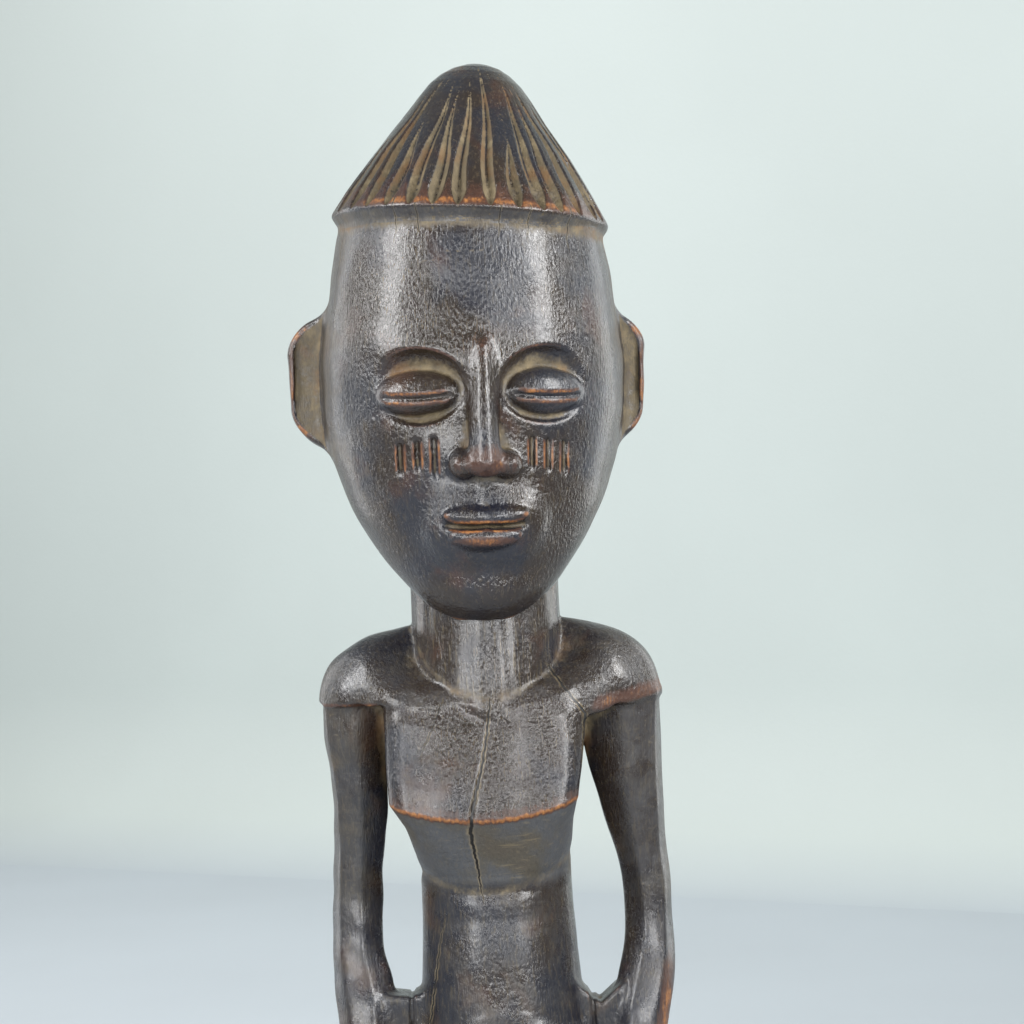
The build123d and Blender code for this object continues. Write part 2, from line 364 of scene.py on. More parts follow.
def handledWood(name):
    # oiled and handled hardwood; the marks on the points say where it is worn, dusty or cracked, where the
    # film also lays on a painted sheen, and where cracks get painted shade
    shop = Shop(name)
    place = shop.node("ShaderNodeTexCoord", output="Object")
    wood = shop.scaled(place, (1 / mm, 1 / mm, 1 / mm))
    upright = shop.scaled(wood, (1, 1, 0.72))
    fibre = shop.scaled(wood, (1, 1, handled["along"]))
    wear, dust = shop.mark("wear"), shop.mark("dust")
    pebbly, stroked, film = shop.mark("pebbly"), shop.mark("stroked"), shop.mark("film")
    crackSide, crackWide = shop.mark("crackSide"), shop.mark("crackWide")

    clouds = shop.noise(wood, 1 / handled["clouds"], 3, 0.55)
    patches = shop.noise(wood, 1 / handled["patches"], 4, 0.6, 0.4)
    speckle = shop.noise(upright, 1 / handled["speckle"], 3, 0.6)
    fibres = shop.noise(fibre, 1 / handled["fibres"], 3, 0.65)
    scuffs = shop.noise(wood, 1 / handled["scuffs"], 5, 0.65, 0.5)

    base = shop.mix(clouds.rise(0.42, 0.60), handled["heart"], handled["smoke"])
    base = shop.mix(patches.rise(0.54, 0.72) * 0.45, base, handled["red"])
    filmed = (film + (scuffs - 0.5) * 0.7 + (patches - 0.5) * 0.5).rise(0.15, 0.85)
    browner = (clouds * 0.5 + patches * 0.5).rise(0.43, 0.57)
    filmTone = shop.mix(browner, handled["filmGrey"], handled["film"])
    base = shop.mix(filmed * 0.8, base, filmTone)
    base = shop.mix(fibres.rise(0.50, 0.70) * (0.15 + 0.30 * stroked), base, handled["dust"])
    base = shop.mix((1 - fibres).rise(0.52, 0.72) * (0.2 + 0.6 * stroked), base, handled["heart"])
    base = shop.mix(speckle.rise(0.58, 0.78) * 0.16, base, handled["dustPale"])

    strokes = shop.noise(shop.scaled(wood, (0.10, 1, 0.9)), 1 / 1.3, 2, 0.6, 0.3)
    base = shop.mix(strokes.rise(0.60, 0.75) * filmed * 0.30, base, handled["dustPale"])

    brushed = (scuffs - 0.5) * 1.3 + (fibres - 0.5) * 1.3 + (speckle - 0.5) * 0.6
    reddened = (wear * 1.5 + brushed * 0.5).rise(0.25, 0.80)
    bareShare = (wear + brushed * 0.7).rise(0.55, 1.0)
    base = shop.mix(reddened * 0.85, base, handled["red"])
    bare = shop.mix((speckle + fibres * 0.5).rise(0.68, 0.95) * 0.7, handled["worn"], handled["pale"])
    base = shop.mix(bareShare * 0.9, base, bare)

    dustShare = (dust + (scuffs - 0.5) * 0.7 + (speckle - 0.5) * 0.5).rise(0.20, 0.95)
    settled = shop.mix(scuffs.rise(0.42, 0.72), handled["dust"], handled["dustPale"])
    settled = shop.mix(patches.rise(0.50, 0.66) * 0.75, settled, handled["dustRust"])
    base = shop.mix(dustShare * 0.85, base, settled)

    ragged = crackSide + (shop.noise(fibre, 1 / 0.9, 2, 0.6) - 0.5) * 0.35
    near = ragged.size() / crackWide.most(0.02)
    isCrack = crackWide.rise(0.03, 0.12)
    opening = (1 - near.rise(0.30, 0.60)) * isCrack
    lip = (1 - near.rise(0.6, 1.6)) * isCrack * scuffs.rise(0.35, 0.6)
    base = shop.mix(lip * 0.6, base, handled["dustPale"])
    # painted shade: the crack's opening is coloured near black in place of the shade down its gap
    base = shop.mix(opening, base, handled["crack"])

    roughened = dustShare.most(filmed * 0.55)
    shine = handled["gloss"] + (scuffs - 0.5) * 0.22 + clouds.rise(0.35, 0.65) * 0.11
    shine = shine + roughened * (handled["matt"] - handled["gloss"])
    shine = (shine + reddened * 0.16 + bareShare * 0.16 + opening * 0.4).held()

    cells = {"feature": "SMOOTH_F1", "voronoi_dimensions": "3D"}
    inputs = {"Vector": upright, "Scale": 1 / (handled["grainSize"] * 1.3)}
    inputs |= {"Smoothness": 0.7, "Randomness": 1.0}
    pebbles = shop.node("ShaderNodeTexVoronoi", cells, inputs)
    pebble = shop.noise(upright, 1 / handled["grainSize"], 2, 0.55) * 0.7 - pebbles * 0.5
    pores = shop.noise(shop.scaled(wood, (1, 1, 0.12)), 1 / handled["pores"], 2, 0.6).rise(0.35, 0.6)
    tool = shop.noise(shop.scaled(wood, (1, 1, 0.5)), 1 / handled["tool"], 2, 0.5)
    height = pebble * (handled["grainHeight"] * (0.25 + 0.75 * pebbly)) + pores * handled["poreHeight"]
    height = height + tool * handled["toolHeight"]
    height = height + fibres * (0.04 + handled["strokeHeight"] * stroked) - opening * 0.6
    height = height + dustShare * speckle * 0.08
    relief = shop.node("ShaderNodeBump", {}, {"Strength": 1.0, "Distance": mm, "Height": height})

    polish = ((1 - roughened * 1.3) * handled["coat"]).held()
    inputs = {"Base Color": base, "Roughness": shine, "Normal": relief, "Specular IOR Level": 0.5}
    inputs |= {"Coat Weight": polish, "Coat Roughness": 0.17}
    shader = shop.node("ShaderNodeBsdfPrincipled", {}, inputs)
    shop.node("ShaderNodeOutputMaterial", {}, {"Surface": shader})
    return shop.material


wood = handledWood("handledWood")
print("wood mixed")

# the body, in the frame's own axes; z runs up from the floor
level = {
    "floor": nodeBox("base")[0][2],
    "base": nodeBox("base")[1][2],
    "ankle": nodeBox("left_foot")[1][2],
    "knee": nodeBox("left_calf")[1][2],
    "groin": nodeBox("left_thigh")[1][2],
    "hips": nodeBox("waist")[0][2],
    "waist": nodeBox("waist")[1][2],
    "shoulder": nodeBox("chest")[1][2],
    "chin": nodeBox("head")[0][2],
}
sides = {"left": 1, "right": -1}

disc = {
    "taper": 2.5,
    "edge": 2.2,
    "facets": 31,  # flats left round the side by the adze
    "dish": 0.35,
}


def baseField(x, y, z):
    low, high = nodeBox("base")
    radius = (high[0] - low[0]) / 2
    around = np.arctan2(y, x)
    flat = 2 * math.pi / disc["facets"]
    place = np.mod(around + 0.05 * np.sin(around * 3), flat) - flat / 2
    up = (z - level["floor"]) / (high[2] - low[2])
    shape = np.sqrt(x * x + y * y) * np.cos(place) - radius * math.cos(flat / 2) + disc["taper"] * up
    top = z - level["base"] + disc["dish"] * (0.5 + 0.5 * ripple(x, y, z * 0, 26, 3))
    return common(common(shape, top, disc["edge"]), level["floor"] - z, 1.0)


foot = {
    "heelRadius": 9.6,
    "toeRadius": 10.6,
    # how high its top is, from the heel at 0 to the toes at 1
    "tops": [(-0.2, 16), (0.15, 15.5), (0.5, 12.0), (0.85, 8.6), (1.1, 7.5), (1.4, 5.0)],
    "toeCuts": (-6.3, -2.3, 1.7, 5.6),  # across the foot, from its inner side
    "toeDepth": 1.5,
    "under": 5.0,  # how far it runs down into the base
}


def footField(side, x, y, z):
    low, high = nodeBox(side + "_foot")
    middle = (low[0] + high[0]) / 2
    heel = (middle, high[1] - foot["heelRadius"])
    toe = (middle, low[1] + foot["toeRadius"])
    plan = rod(x, y, z * 0, (*heel, 0), (*toe, 0), foot["heelRadius"], foot["toeRadius"])
    along = np.clip((heel[1] - y) / (heel[1] - toe[1]), -0.2, 1.4)
    top = curve(foot["tops"], along)[0]
    across = (x - middle) * sides[side]
    inToes = smoothStep(toe[1] + 3 - y, 0, 3.5)
    for place in foot["toeCuts"]:
        groove = np.maximum(0, 1 - np.abs(across - place) / 1.15) * foot["toeDepth"]
        plan = plan + groove * inToes
        top = top - groove * inToes
    shape = common(plan, z - level["base"] - top, 3.0)
    return np.maximum(shape, level["base"] - foot["under"] - z)


leg = {
    # up from the ankle, middle out, middle back, half width, half depth
    "rows": [
        (-6, 0.0, 3.5, 9.0, 9.6),
        (0, 0.0, 3.2, 8.8, 9.2),
        (6, 0.0, 3.4, 9.6, 10.4),
        (18, 0.2, 3.6, 12.8, 13.8),
        (28, 0.2, 0.2, 12.6, 13.0),
        (36, 0.0, -5.2, 11.4, 11.6),
        (41, 0.0, -6.6, 11.6, 12.0),
        (50, 0.0, -5.0, 13.6, 14.6),
        (62, -0.2, -2.6, 15.4, 17.4),
        (77, -1.3, 0.0, 16.2, 20.0),
        (90, -3.0, 1.0, 15.0, 20.0),
    ],
    "kneecap": (5.6, 3.4, 6.8),
    "kneeFront": -17.2,
}


def legField(side, x, y, z):
    low, high = nodeBox(side + "_foot")
    middle = (low[0] + high[0]) / 2
    out, back, wide, deep = curve(leg["rows"], z - level["ankle"])
    shaft = ovalPost(x - middle - out * sides[side], y - back, wide, deep)
    shaft = np.maximum(shaft, between(z, level["ankle"] - 4, level["groin"] + 10))
    knee = egg(x, y, z, (middle, leg["kneeFront"], level["knee"] + 1.0), leg["kneecap"])
    return join(shaft, knee, 4.0) + 0.25 * ripple(x, y, z, 17, 11)


pelvis = {
    # up from the groin, middle back, half width, half depth
    "rows": [
        (-6, 1.0, 31.0, 20.0),
        (0, 1.4, 33.6, 23.5),
        (14, 2.0, 36.2, 27.4),
        (27, 1.2, 34.2, 26.6),
        (38, 0.0, 29.4, 24.4),
        (48, -0.8, 24.6, 22.0),
    ],
    "seat": (15.5, 12.5, 15.0),
    "seatAt": (15.5, 16.5, 13.0),  # out, back, up from the groin
    "belly": (14.5, 6.0, 13.0),
    "bellyAt": (0.0, -19.5, 4.0),  # across, back, up from the hips line
    "navel": (2.4, 1.6, 2.6),
    "navelAt": (0.3, -25.6, 6.0),
}


def pelvisField(x, y, z):
    back, wide, deep = curve(pelvis["rows"], z - level["groin"])
    body = ovalPost(x, y - back, wide, deep)
    body = common(body, level["groin"] - 2.5 - z, 4.0)
    body = np.maximum(body, z - level["hips"] - 10)
    for out in sides.values():
        across, back, up = pelvis["seatAt"]
        seat = egg(x, y, z, (out * across, back, level["groin"] + up), pelvis["seat"])
        body = join(body, seat, 5.0)
    for bulge, soft in (("belly", 7.0), ("navel", 1.2)):
        across, back, up = pelvis[bulge + "At"]
        body = join(body, egg(x, y, z, (across, back, level["hips"] + up), pelvis[bulge]), soft)
    return body + 0.2 * ripple(x, y, z, 21, 17)


trunk = {
    # up from the waist line, middle across, middle back, half width, half depth, corner radius
    "rows": [
        (-60, 0.0, -0.5, 28.8, 24.4, 23.0),
        (-48, -0.2, -0.9, 26.2, 23.4, 22.0),
        (-36, -0.4, -1.2, 24.6, 22.2, 20.5),
        (-20, -0.8, -0.8, 23.2, 20.6, 18.5),
        (-8, -0.7, -0.2, 22.6, 19.6, 17.5),
        (0, -0.6, 0.0, 22.5, 19.4, 17.0),
        (5, -0.6, -0.2, 22.5, 20.0, 16.0),
        (10, -0.8, -0.6, 23.3, 21.6, 14.0),
        (16, -1.7, -1.1, 24.9, 24.0, 10.5),
        (21.3, -2.7, -1.5, 27.1, 26.2, 6.5),
        (22.3, -2.8, -1.6, 27.6, 26.7, 5.5),
        (30, -2.3, -1.3, 28.5, 25.8, 5.5),
        (40, -1.9, -0.8, 29.3, 24.5, 6.0),
        (48, -1.9, -0.5, 29.6, 23.5, 7.0),
        (54, -1.9, -0.2, 29.2, 22.4, 8.0),
        (58, -1.6, 0.0, 27.0, 20.0, 10.0),
        (62, -1.6, 0.0, 26.0, 16.0, 12.0),
    ],
    "ledgeSag": 5.2,  # how much lower the ledge is in the middle
    "ledgeUp": 22.0,
    "middle": -2.8,  # the ledge is lowest there
    "frontBow": 2.7,
    "crackDepth": 0.6,
}

cracks = {
    # up from the waist line, place across, opening; all on the front
    "chest": [(-3, -4.2, 0.0), (1, -5.0, 0.35), (8, -5.6, 0.6), (14, -6.5, 0.8), (19, -7.1, 1.1),
              (25, -6.3, 1.0), (31, -4.9, 0.8), (38, -2.9, 0.65), (47, -1.1, 0.55), (55, 0.1, 0.45),
              (59, 0.4, 0.0)],
    "armpit": [(33, 26.0, 0.0), (37, 26.6, 0.5), (45, 27.3, 0.6), (51.5, 27.8, 0.8), (56, 24.4, 0.8),
               (60, 21.5, 0.7), (64, 18.6, 0.6), (67, 16.8, 0.0)],
    "faint": [(40, -21.4, 0.0), (44, -19.4, 0.30), (50, -16.6, 0.34), (56, -14.0, 0.28), (59, -12.8, 0.0)],
    "side": [(-46, -23.0, 0.0), (-40, -22.2, 0.4), (-26, -19.9, 0.45), (-14, -17.8, 0.35), (-8, -16.1, 0.2),
             (-5, -15.6, 0.0)],
}


def ledgeRise(x):
    # how much higher the ledge is at that place across than in its middle
    away = (x - trunk["middle"]) / 28
    return trunk["ledgeSag"] * np.clip(away * away, 0, 1.3)


def aboveValley(x, up):
    # the waist's narrowest line, which bows down to the sides
    return up - 0.4 - 0.014 * (x + 3) ** 2


def trunkField(x, y, z):
    up = z - level["waist"]
    warped = up - ledgeRise(x) * smoothStep(up, 6, 20)
    across, back, wide, deep, corner = curve(trunk["rows"], warped, straight=True)
    u = x - across
    bowed = deep - trunk["frontBow"] * np.clip(u / wide, -1, 1) ** 2
    shape = roundedPost(u, y - back, wide, bowed, corner)
    shape = np.maximum(shape, between(up, -58, 60))
    shape = shape + 0.55 * bell(aboveValley(x, up), 2.6) + 0.22 * ripple(x, y, z, 19, 23)
    place, opening = curve(cracks["chest"], up, straight=True)
    split = np.maximum(0, 1 - np.abs(x - place) / (0.5 + opening * 0.5)) * np.minimum(opening * 1.3, 1.0)
    return shape + trunk["crackDepth"] * split * (y < 0)


yoke = {
    "span": 51.3,
    "rise": 26.3,
    "deepFront": 22.7,
    "deepBack": 25.5,
    "power": 2.7,
    # up from the shoulder line, how far the top draws back there
    "lean": [(0, 0), (2, 0.6), (4, 1.7), (7, 5.6), (10, 9.0), (13.5, 12.6), (20, 14.5)],
    "leftLedge": -5.6,  # the left ledge's height over the shoulder line
    "leftClimb": 0.20,  # how it climbs outwards
    "rightLedge": 0.2,
}


def leftLedge(out):
    return np.clip(yoke["leftLedge"] + yoke["leftClimb"] * (out - 28), -6, 0.5)


def yokeField(x, y, z):
    middle = level["shoulder"] - 2.4
    lean = np.interp(z - level["shoulder"], *zip(*yoke["lean"])) * (1 - smoothStep(np.abs(x), 20, 38))
    deep = np.where(y < 0, yoke["deepFront"] - lean, yoke["deepBack"] - 0.7 * lean).astype(np.float32)
    p = yoke["power"]
    profile = (np.abs(x) / yoke["span"]) ** p + (np.abs(z - middle) / yoke["rise"]) ** p
    q = np.sqrt(profile ** (2 / p) + (y / deep) ** 2)
    out = np.sqrt(x * x * 0.6 + y * y + (z - middle) ** 2)
    shape = out * (1 - 1 / np.maximum(q, 0.02)) * 0.9
    drop = yoke["rightLedge"] + (leftLedge(np.abs(x)) - yoke["rightLedge"]) * smoothStep(x, -14, 14)
    ledge = level["shoulder"] + drop + 0.5 * ripple(x, y, z * 0, 9, 31)
    return common(shape, ledge - z, 1.3) + 0.22 * ripple(x, y, z, 15, 29)


neck = {
    # up from the shoulder line, middle back, radius
    "rows": [(-8, 0.0, 23.4), (2, 0.0, 23.2), (10, 0.0, 22.7), (22, 0.0, 22.2), (40, 0.4, 22.2),
             (62, 1.0, 22.0)],
    "flutes": 23,  # knife cuts up and down, all round
    "fluteDepth": 0.16,
    "below": 8,  # how far it runs down into the shoulders
    "above": 36,  # and up into the head
}


def neckField(x, y, z):
    back, radius = curve(neck["rows"], z - level["shoulder"])
    around = np.arctan2(y, x)
    flutes = np.sin(around * neck["flutes"] + 1.3 * np.sin(around * 5)) * neck["fluteDepth"]
    shape = ovalPost(x, y - back, radius, radius) + flutes * 0.6 + 0.12 * ripple(x, y, z * 0.3, 8, 37)
    return np.maximum(shape, between(z, level["shoulder"] - neck["below"], level["chin"] + neck["above"]))


arm = {
    # share of the way up from the wrist, in from the CAD arm's outer side, width, middle back, half depth
    "right": [(-0.03, 6.6, 15.0, -9.2, 6.6), (0.02, 4.8, 16.0, -8.6, 7.0), (0.107, 2.5, 17.4, -6.0, 7.8),
              (0.21, 1.2, 18.3, -2.4, 8.4), (0.31, 1.1, 16.2, 0.4, 8.5), (0.45, 1.6, 15.8, 2.6, 8.4),
              (0.59, 2.3, 16.6, 2.4, 8.9), (0.73, 2.6, 18.3, 1.4, 9.8), (0.87, 1.3, 20.0, 0.8, 11.0),
              (0.96, 0.5, 23.0, 0.6, 11.6), (1.06, 0.4, 26.0, 0.4, 11.6)],
    "left": [(-0.03, 7.4, 15.0, -9.2, 6.6), (0.0, 6.4, 15.6, -8.8, 6.9), (0.06, 4.4, 17.4, -7.2, 7.5),
             (0.126, 2.8, 18.3, -5.2, 8.0), (0.21, 1.2, 17.6, -2.2, 8.4), (0.30, 0.2, 16.0, 0.6, 8.5),
             (0.414, 0.1, 15.6, 2.6, 8.3), (0.55, 0.9, 16.6, 2.8, 8.8), (0.70, 1.2, 21.2, 1.4, 10.0),
             (0.80, 0.9, 24.2, 1.0, 10.8), (0.92, 0.5, 26.0, 0.6, 11.6), (1.06, 0.4, 27.0, 0.4, 11.6)],
    "flats": (8, 62, 118, 180, 236, 300),  # which way each knife-cut flat looks, from outwards to the front
    "flatDepth": 0.90,
    "turn": 26,  # how much the flats wind round from the shoulder to the wrist
}


def armField(side, x, y, z):
    low, high = nodeBox(side + "_arm")
    outer = max(abs(low[0]), abs(high[0]))
    share = (z - low[2]) / (high[2] - low[2])
    inset, width, back, deep = curve(arm[side], share)
    u = x * sides[side] - (outer - inset - width / 2)
    v = y - back
    shape = ovalPost(u, v, width / 2, deep)
    wind = np.radians(arm["turn"] * (1 - np.clip(share, 0, 1)))
    flats = []
    for number, way in enumerate(arm["flats"]):
        a = math.radians(way) + wind
        reach = np.cos(a) * u / (width / 2) - np.sin(a) * v / deep
        flats.append((reach - arm["flatDepth"] - 0.03 * math.sin(number * 2.1)) * (width / 2))
    shape = common(shape, np.maximum.reduce(flats), 1.6)
    shape = common(shape, between(share, -0.06, 1.0) * (high[2] - low[2]), 1.5)
    return shape + 0.25 * ripple(x, y, z, 14, 41 + sides[side])


web = {
    "top": {"left": 16.6, "right": 21.2},  # above the hips line
    "deep": 6.4,
    "middle": -3.0,
    "slope": {"left": 0.85, "right": 0.12},
    "lowest": 28.6,
    "crease": {"left": 26.6, "right": 27.8},
    "creaseDepth": 1.1,
    "soft": {"left": 1.8, "right": 3.0},
}


def creaseAt(side, z):
    # how far out the crease between the forearm and the hips lies
    return web["crease"][side] + 0.02 * (level["hips"] - z)


def webField(side, x, y, z):
    out = x * sides[side]
    plate = np.abs(y - web["middle"]) - web["deep"]
    shape = common(plate, between(out, 18, 36), 2.5)
    top = level["hips"] + web["top"][side] + web["slope"][side] * np.abs(out - web["lowest"])
    shape = common(shape, between(z, level["hips"] - 9, top), 1.8)
    crease = np.maximum(0, 1 - np.abs(out - creaseAt(side, z)) / 0.9)
    return shape + web["creaseDepth"] * crease


hand = {
    # along from the wrist, half width, half thickness
    "rows": [(-6, 7.4, 6.6), (0, 7.8, 6.4), (8, 9.4, 5.8), (16, 10.0, 5.0), (25, 9.2, 4.2), (31, 7.6, 3.6),
             (36, 5.4, 3.0)],
    "wrist": (38.6, -9.2, 3.0),  # out, back, up from the hips line
    "tip": (17.5, -25.4, 3.0),  # out, back, up from the hand's lowest point
    "palm": (0.50, -0.86, 0.05),  # which way its back looks: out, back, up
    "fingerCuts": (-4.9, -0.2, 4.4),
    "fingerStart": 15.0,
    "cutDepth": 1.35,
}


def handField(side, x, y, z):
    low = nodeBox(side + "_hand")[0]
    out = sides[side]
    mirror = np.array([out, 1, 1])
    wrist = hand["wrist"] * mirror + [0, 0, level["hips"]]
    tip = hand["tip"] * mirror + [0, 0, low[2]]
    way = (tip - wrist) / np.linalg.norm(tip - wrist)
    outward = hand["palm"] * mirror
    outward -= way * way.dot(outward)
    outward /= np.linalg.norm(outward)
    across = np.cross(outward, way) * out
    rel = [axis - wrist[k] for k, axis in enumerate((x, y, z))]
    along, u, v = [rel[0] * w[0] + rel[1] * w[1] + rel[2] * w[2] for w in (way, across, outward)]
    wide, thick = curve(hand["rows"], along)
    bow = 2.4 * np.sin(np.clip(along / 36, 0, 1) * math.pi)
    shape = ovalPost(u, v - bow, wide, thick)
    inFingers = smoothStep(along, hand["fingerStart"], hand["fingerStart"] + 4)
    onBack = v > bow - 1
    for place in hand["fingerCuts"]:
        groove = np.maximum(0, 1 - np.abs(u - place) / 1.2)
        shape = shape + groove * hand["cutDepth"] * inFingers * onBack
    shape = common(shape, between(along, -7, 34.5 - 0.06 * (u - 1) ** 2), 2.6)
    thumbStart = wrist + way * 7 - across * 6.5 + outward * 1.0
    thumbEnd = wrist + way * 19 - across * 11.5 + outward * 1.2
    thumb = rod(x, y, z, thumbStart, thumbEnd, 3.9, 2.9)
    return join(shape, thumb, 1.4)


bodyParts = {
    # how each part is carved, its fillet, and the zones that it comes near
    "base": (baseField, 0.8, ("base",)),
    "pelvis": (pelvisField, 3.5, ("hips",)),
    "trunk": (trunkField, 3.0, ("waist", "chest", "hips")),
    "yoke": (yokeField, 2.6, ("shoulders",)),
    "neck": (neckField, 0.9, ("neck",)),
}
sideParts = {
    "Foot": (footField, 1.0, ("foot",)),
    "Leg": (legField, 2.4, ("calf", "thigh")),
    "Arm": (armField, 2.2, ("arm",)),
    "Web": (webField, None, ("hips",)),
    "Hand": (handField, 1.0, ("hand",)),
}


def bodyFields(block):
    # every part of the body that comes near this block, with its fillet
    at = block.x, block.y, block.z
    found = {}

    def carve(name, make, soft, zones):
        if any(block.reaches(*nodeBox(zone)) for zone in zones):
            found[name] = np.broadcast_to(make(), block.shape).astype(np.float32), soft

    for name, (make, soft, zones) in bodyParts.items():
        carve(name, lambda: make(*at), soft, zones)
    for side in sides:
        for name, (make, soft, zones) in sideParts.items():
            zones = [zone if zone == "hips" else f"{side}_{zone}" for zone in zones]
            carve(side + name, lambda: make(side, *at), soft or web["soft"][side], zones)
    return found


def wholeBody(fields):
    whole = None
    for field, soft in fields.values():
        whole = field if whole is None else join(whole, field, soft)
    return whole


def claims(fields, block):
    # which zone each bit of wood belongs to: its own part, between its own levels
    wrist, shoulder = level["hips"] + 3, level["shoulder"]
    floor, top = -math.inf, math.inf
    rules = {
        "base": [("base", floor, top)],
        "pelvis": [("hips", level["groin"], level["hips"])],
        "trunk": [("hips", level["groin"], level["hips"]), ("waist", level["hips"], level["waist"]),
                  ("chest", level["waist"], shoulder - 2)],
        "yoke": [("shoulders", shoulder - 8, top)],
        "neck": [("neck", shoulder - 1, top)],
    }
    for side in sides:
        rules[side + "Foot"] = [(side + "_foot", floor, level["ankle"])]
        rules[side + "Leg"] = [
            (side + "_calf", level["ankle"], level["knee"]),
            (side + "_thigh", level["knee"], level["groin"]),
            ("hips", level["groin"], top),
        ]
        rules[side + "Arm"] = [(side + "_arm", wrist, shoulder - 1), ("shoulders", shoulder - 1, top)]
        rules[side + "Web"] = [("hips", floor, top)]
        rules[side + "Hand"] = [(side + "_hand", floor, wrist)]
    made = {}
    for name, (field, _) in fields.items():
        for zone, low, high in rules[name]:
            part = np.maximum(np.maximum(field, low - block.z), block.z - high)
            made[zone] = np.minimum(made[zone], part) if zone in made else part
    return made


def crackMarks(points, front):
    # signed distance across the nearest crack, and how wide it is there
    up = points[:, 2] - level["waist"]
    side, wide = np.full(len(points), 4.0), np.zeros(len(points))
    for number, rows in enumerate(cracks.values()):
        place, opening = curve(rows, up, straight=True)
        off = points[:, 0] - place + 0.12 * np.sin(up * 1.7 + number) + 0.08 * np.sin(up * 4.1 + 2 * number)
        near = (np.abs(off) < 2.5) & (opening > 0) & front
        side = np.where(near, off, side)
        wide = np.where(near, opening, wide)
    return side, wide


neckFoot = {
    # across, up from the shoulder line: where the neck ends, on the front
    "line": [(-24, 24), (-21.6, 18.1), (-17.5, 10.4), (-10.3, 4.0), (-1.4, 1.2), (7.7, 2.2), (16.9, 7.2),
             (21.7, 13.5), (24, 19)],
    "wide": 1.9,
}

finish = {
    # zone: pebbly, stroked, film (on the chest partly a painted sheen), how much of the edges is rubbed
    # bare
    "base": (0.4, 0.4, 0.55, 0.75),
    "foot": (0.4, 0.3, 0.45, 0.8),
    "calf": (0.4, 0.4, 0.4, 0.7),
    "thigh": (0.5, 0.4, 0.3, 0.6),
    "hips": (0.5, 0.5, 0.35, 0.6),
    "waist": (1.1, 0.45, 0.28, 0.35),
    # the chest's film share is raised as a painted sheen: the grey film lightens it where the wood shows a
    # bluish-grey sheen
    "chest": (1.35, 0.12, 0.20, 0.35),
    "shoulders": (1.2, 0.15, 0.36, 0.4),
    "neck": (0.35, 1.0, 0.20, 0.4),
    "arm": (0.38, 0.20, 0.46, 0.45),
    "hand": (0.4, 0.3, 0.4, 0.85),
    "head": (1.35, 0.12, 0.06, 0.85),
    "ear": (0.5, 0.3, 0.3, 0.85),
    "cap": (0.65, 0.30, 0.08, 0.35),
}


def finishOf(shares):
    # the finish at each point, from how much each zone has a share in it
    total = sum(shares.values())
    mixed = [0, 0, 0, 0]
    for zone, share in shares.items():
        for k, value in enumerate(finish[zone.split("_")[-1]]):
            mixed[k] = mixed[k] + value * share / total
    return mixed


rubbed = {
    # how bare each edge is rubbed
    "ledge": 1.0,
    "overLedge": 0.36,
    "leftShoulder": 0.64,
    "leftShoulderEdge": 0.85,
    "rightShoulderEdge": 0.72,
    "foreArm": 0.95,
    "foreArmAt": [(155, 46.0), (178, 49.5), (196, 51.6), (205, 52)],  # up from the floor, how far out
}

dusty = {
    # how much dust lies there
    "hollows": 0.75,
    "neckFoot": 0.46,
    "neckBack": 0.6,  # as a share of the front
    "valley": 0.48,
    # on the ribs this dust also serves as a painted reflection of the floor
    "ribsWithPaintedGlow": 0.14,
}


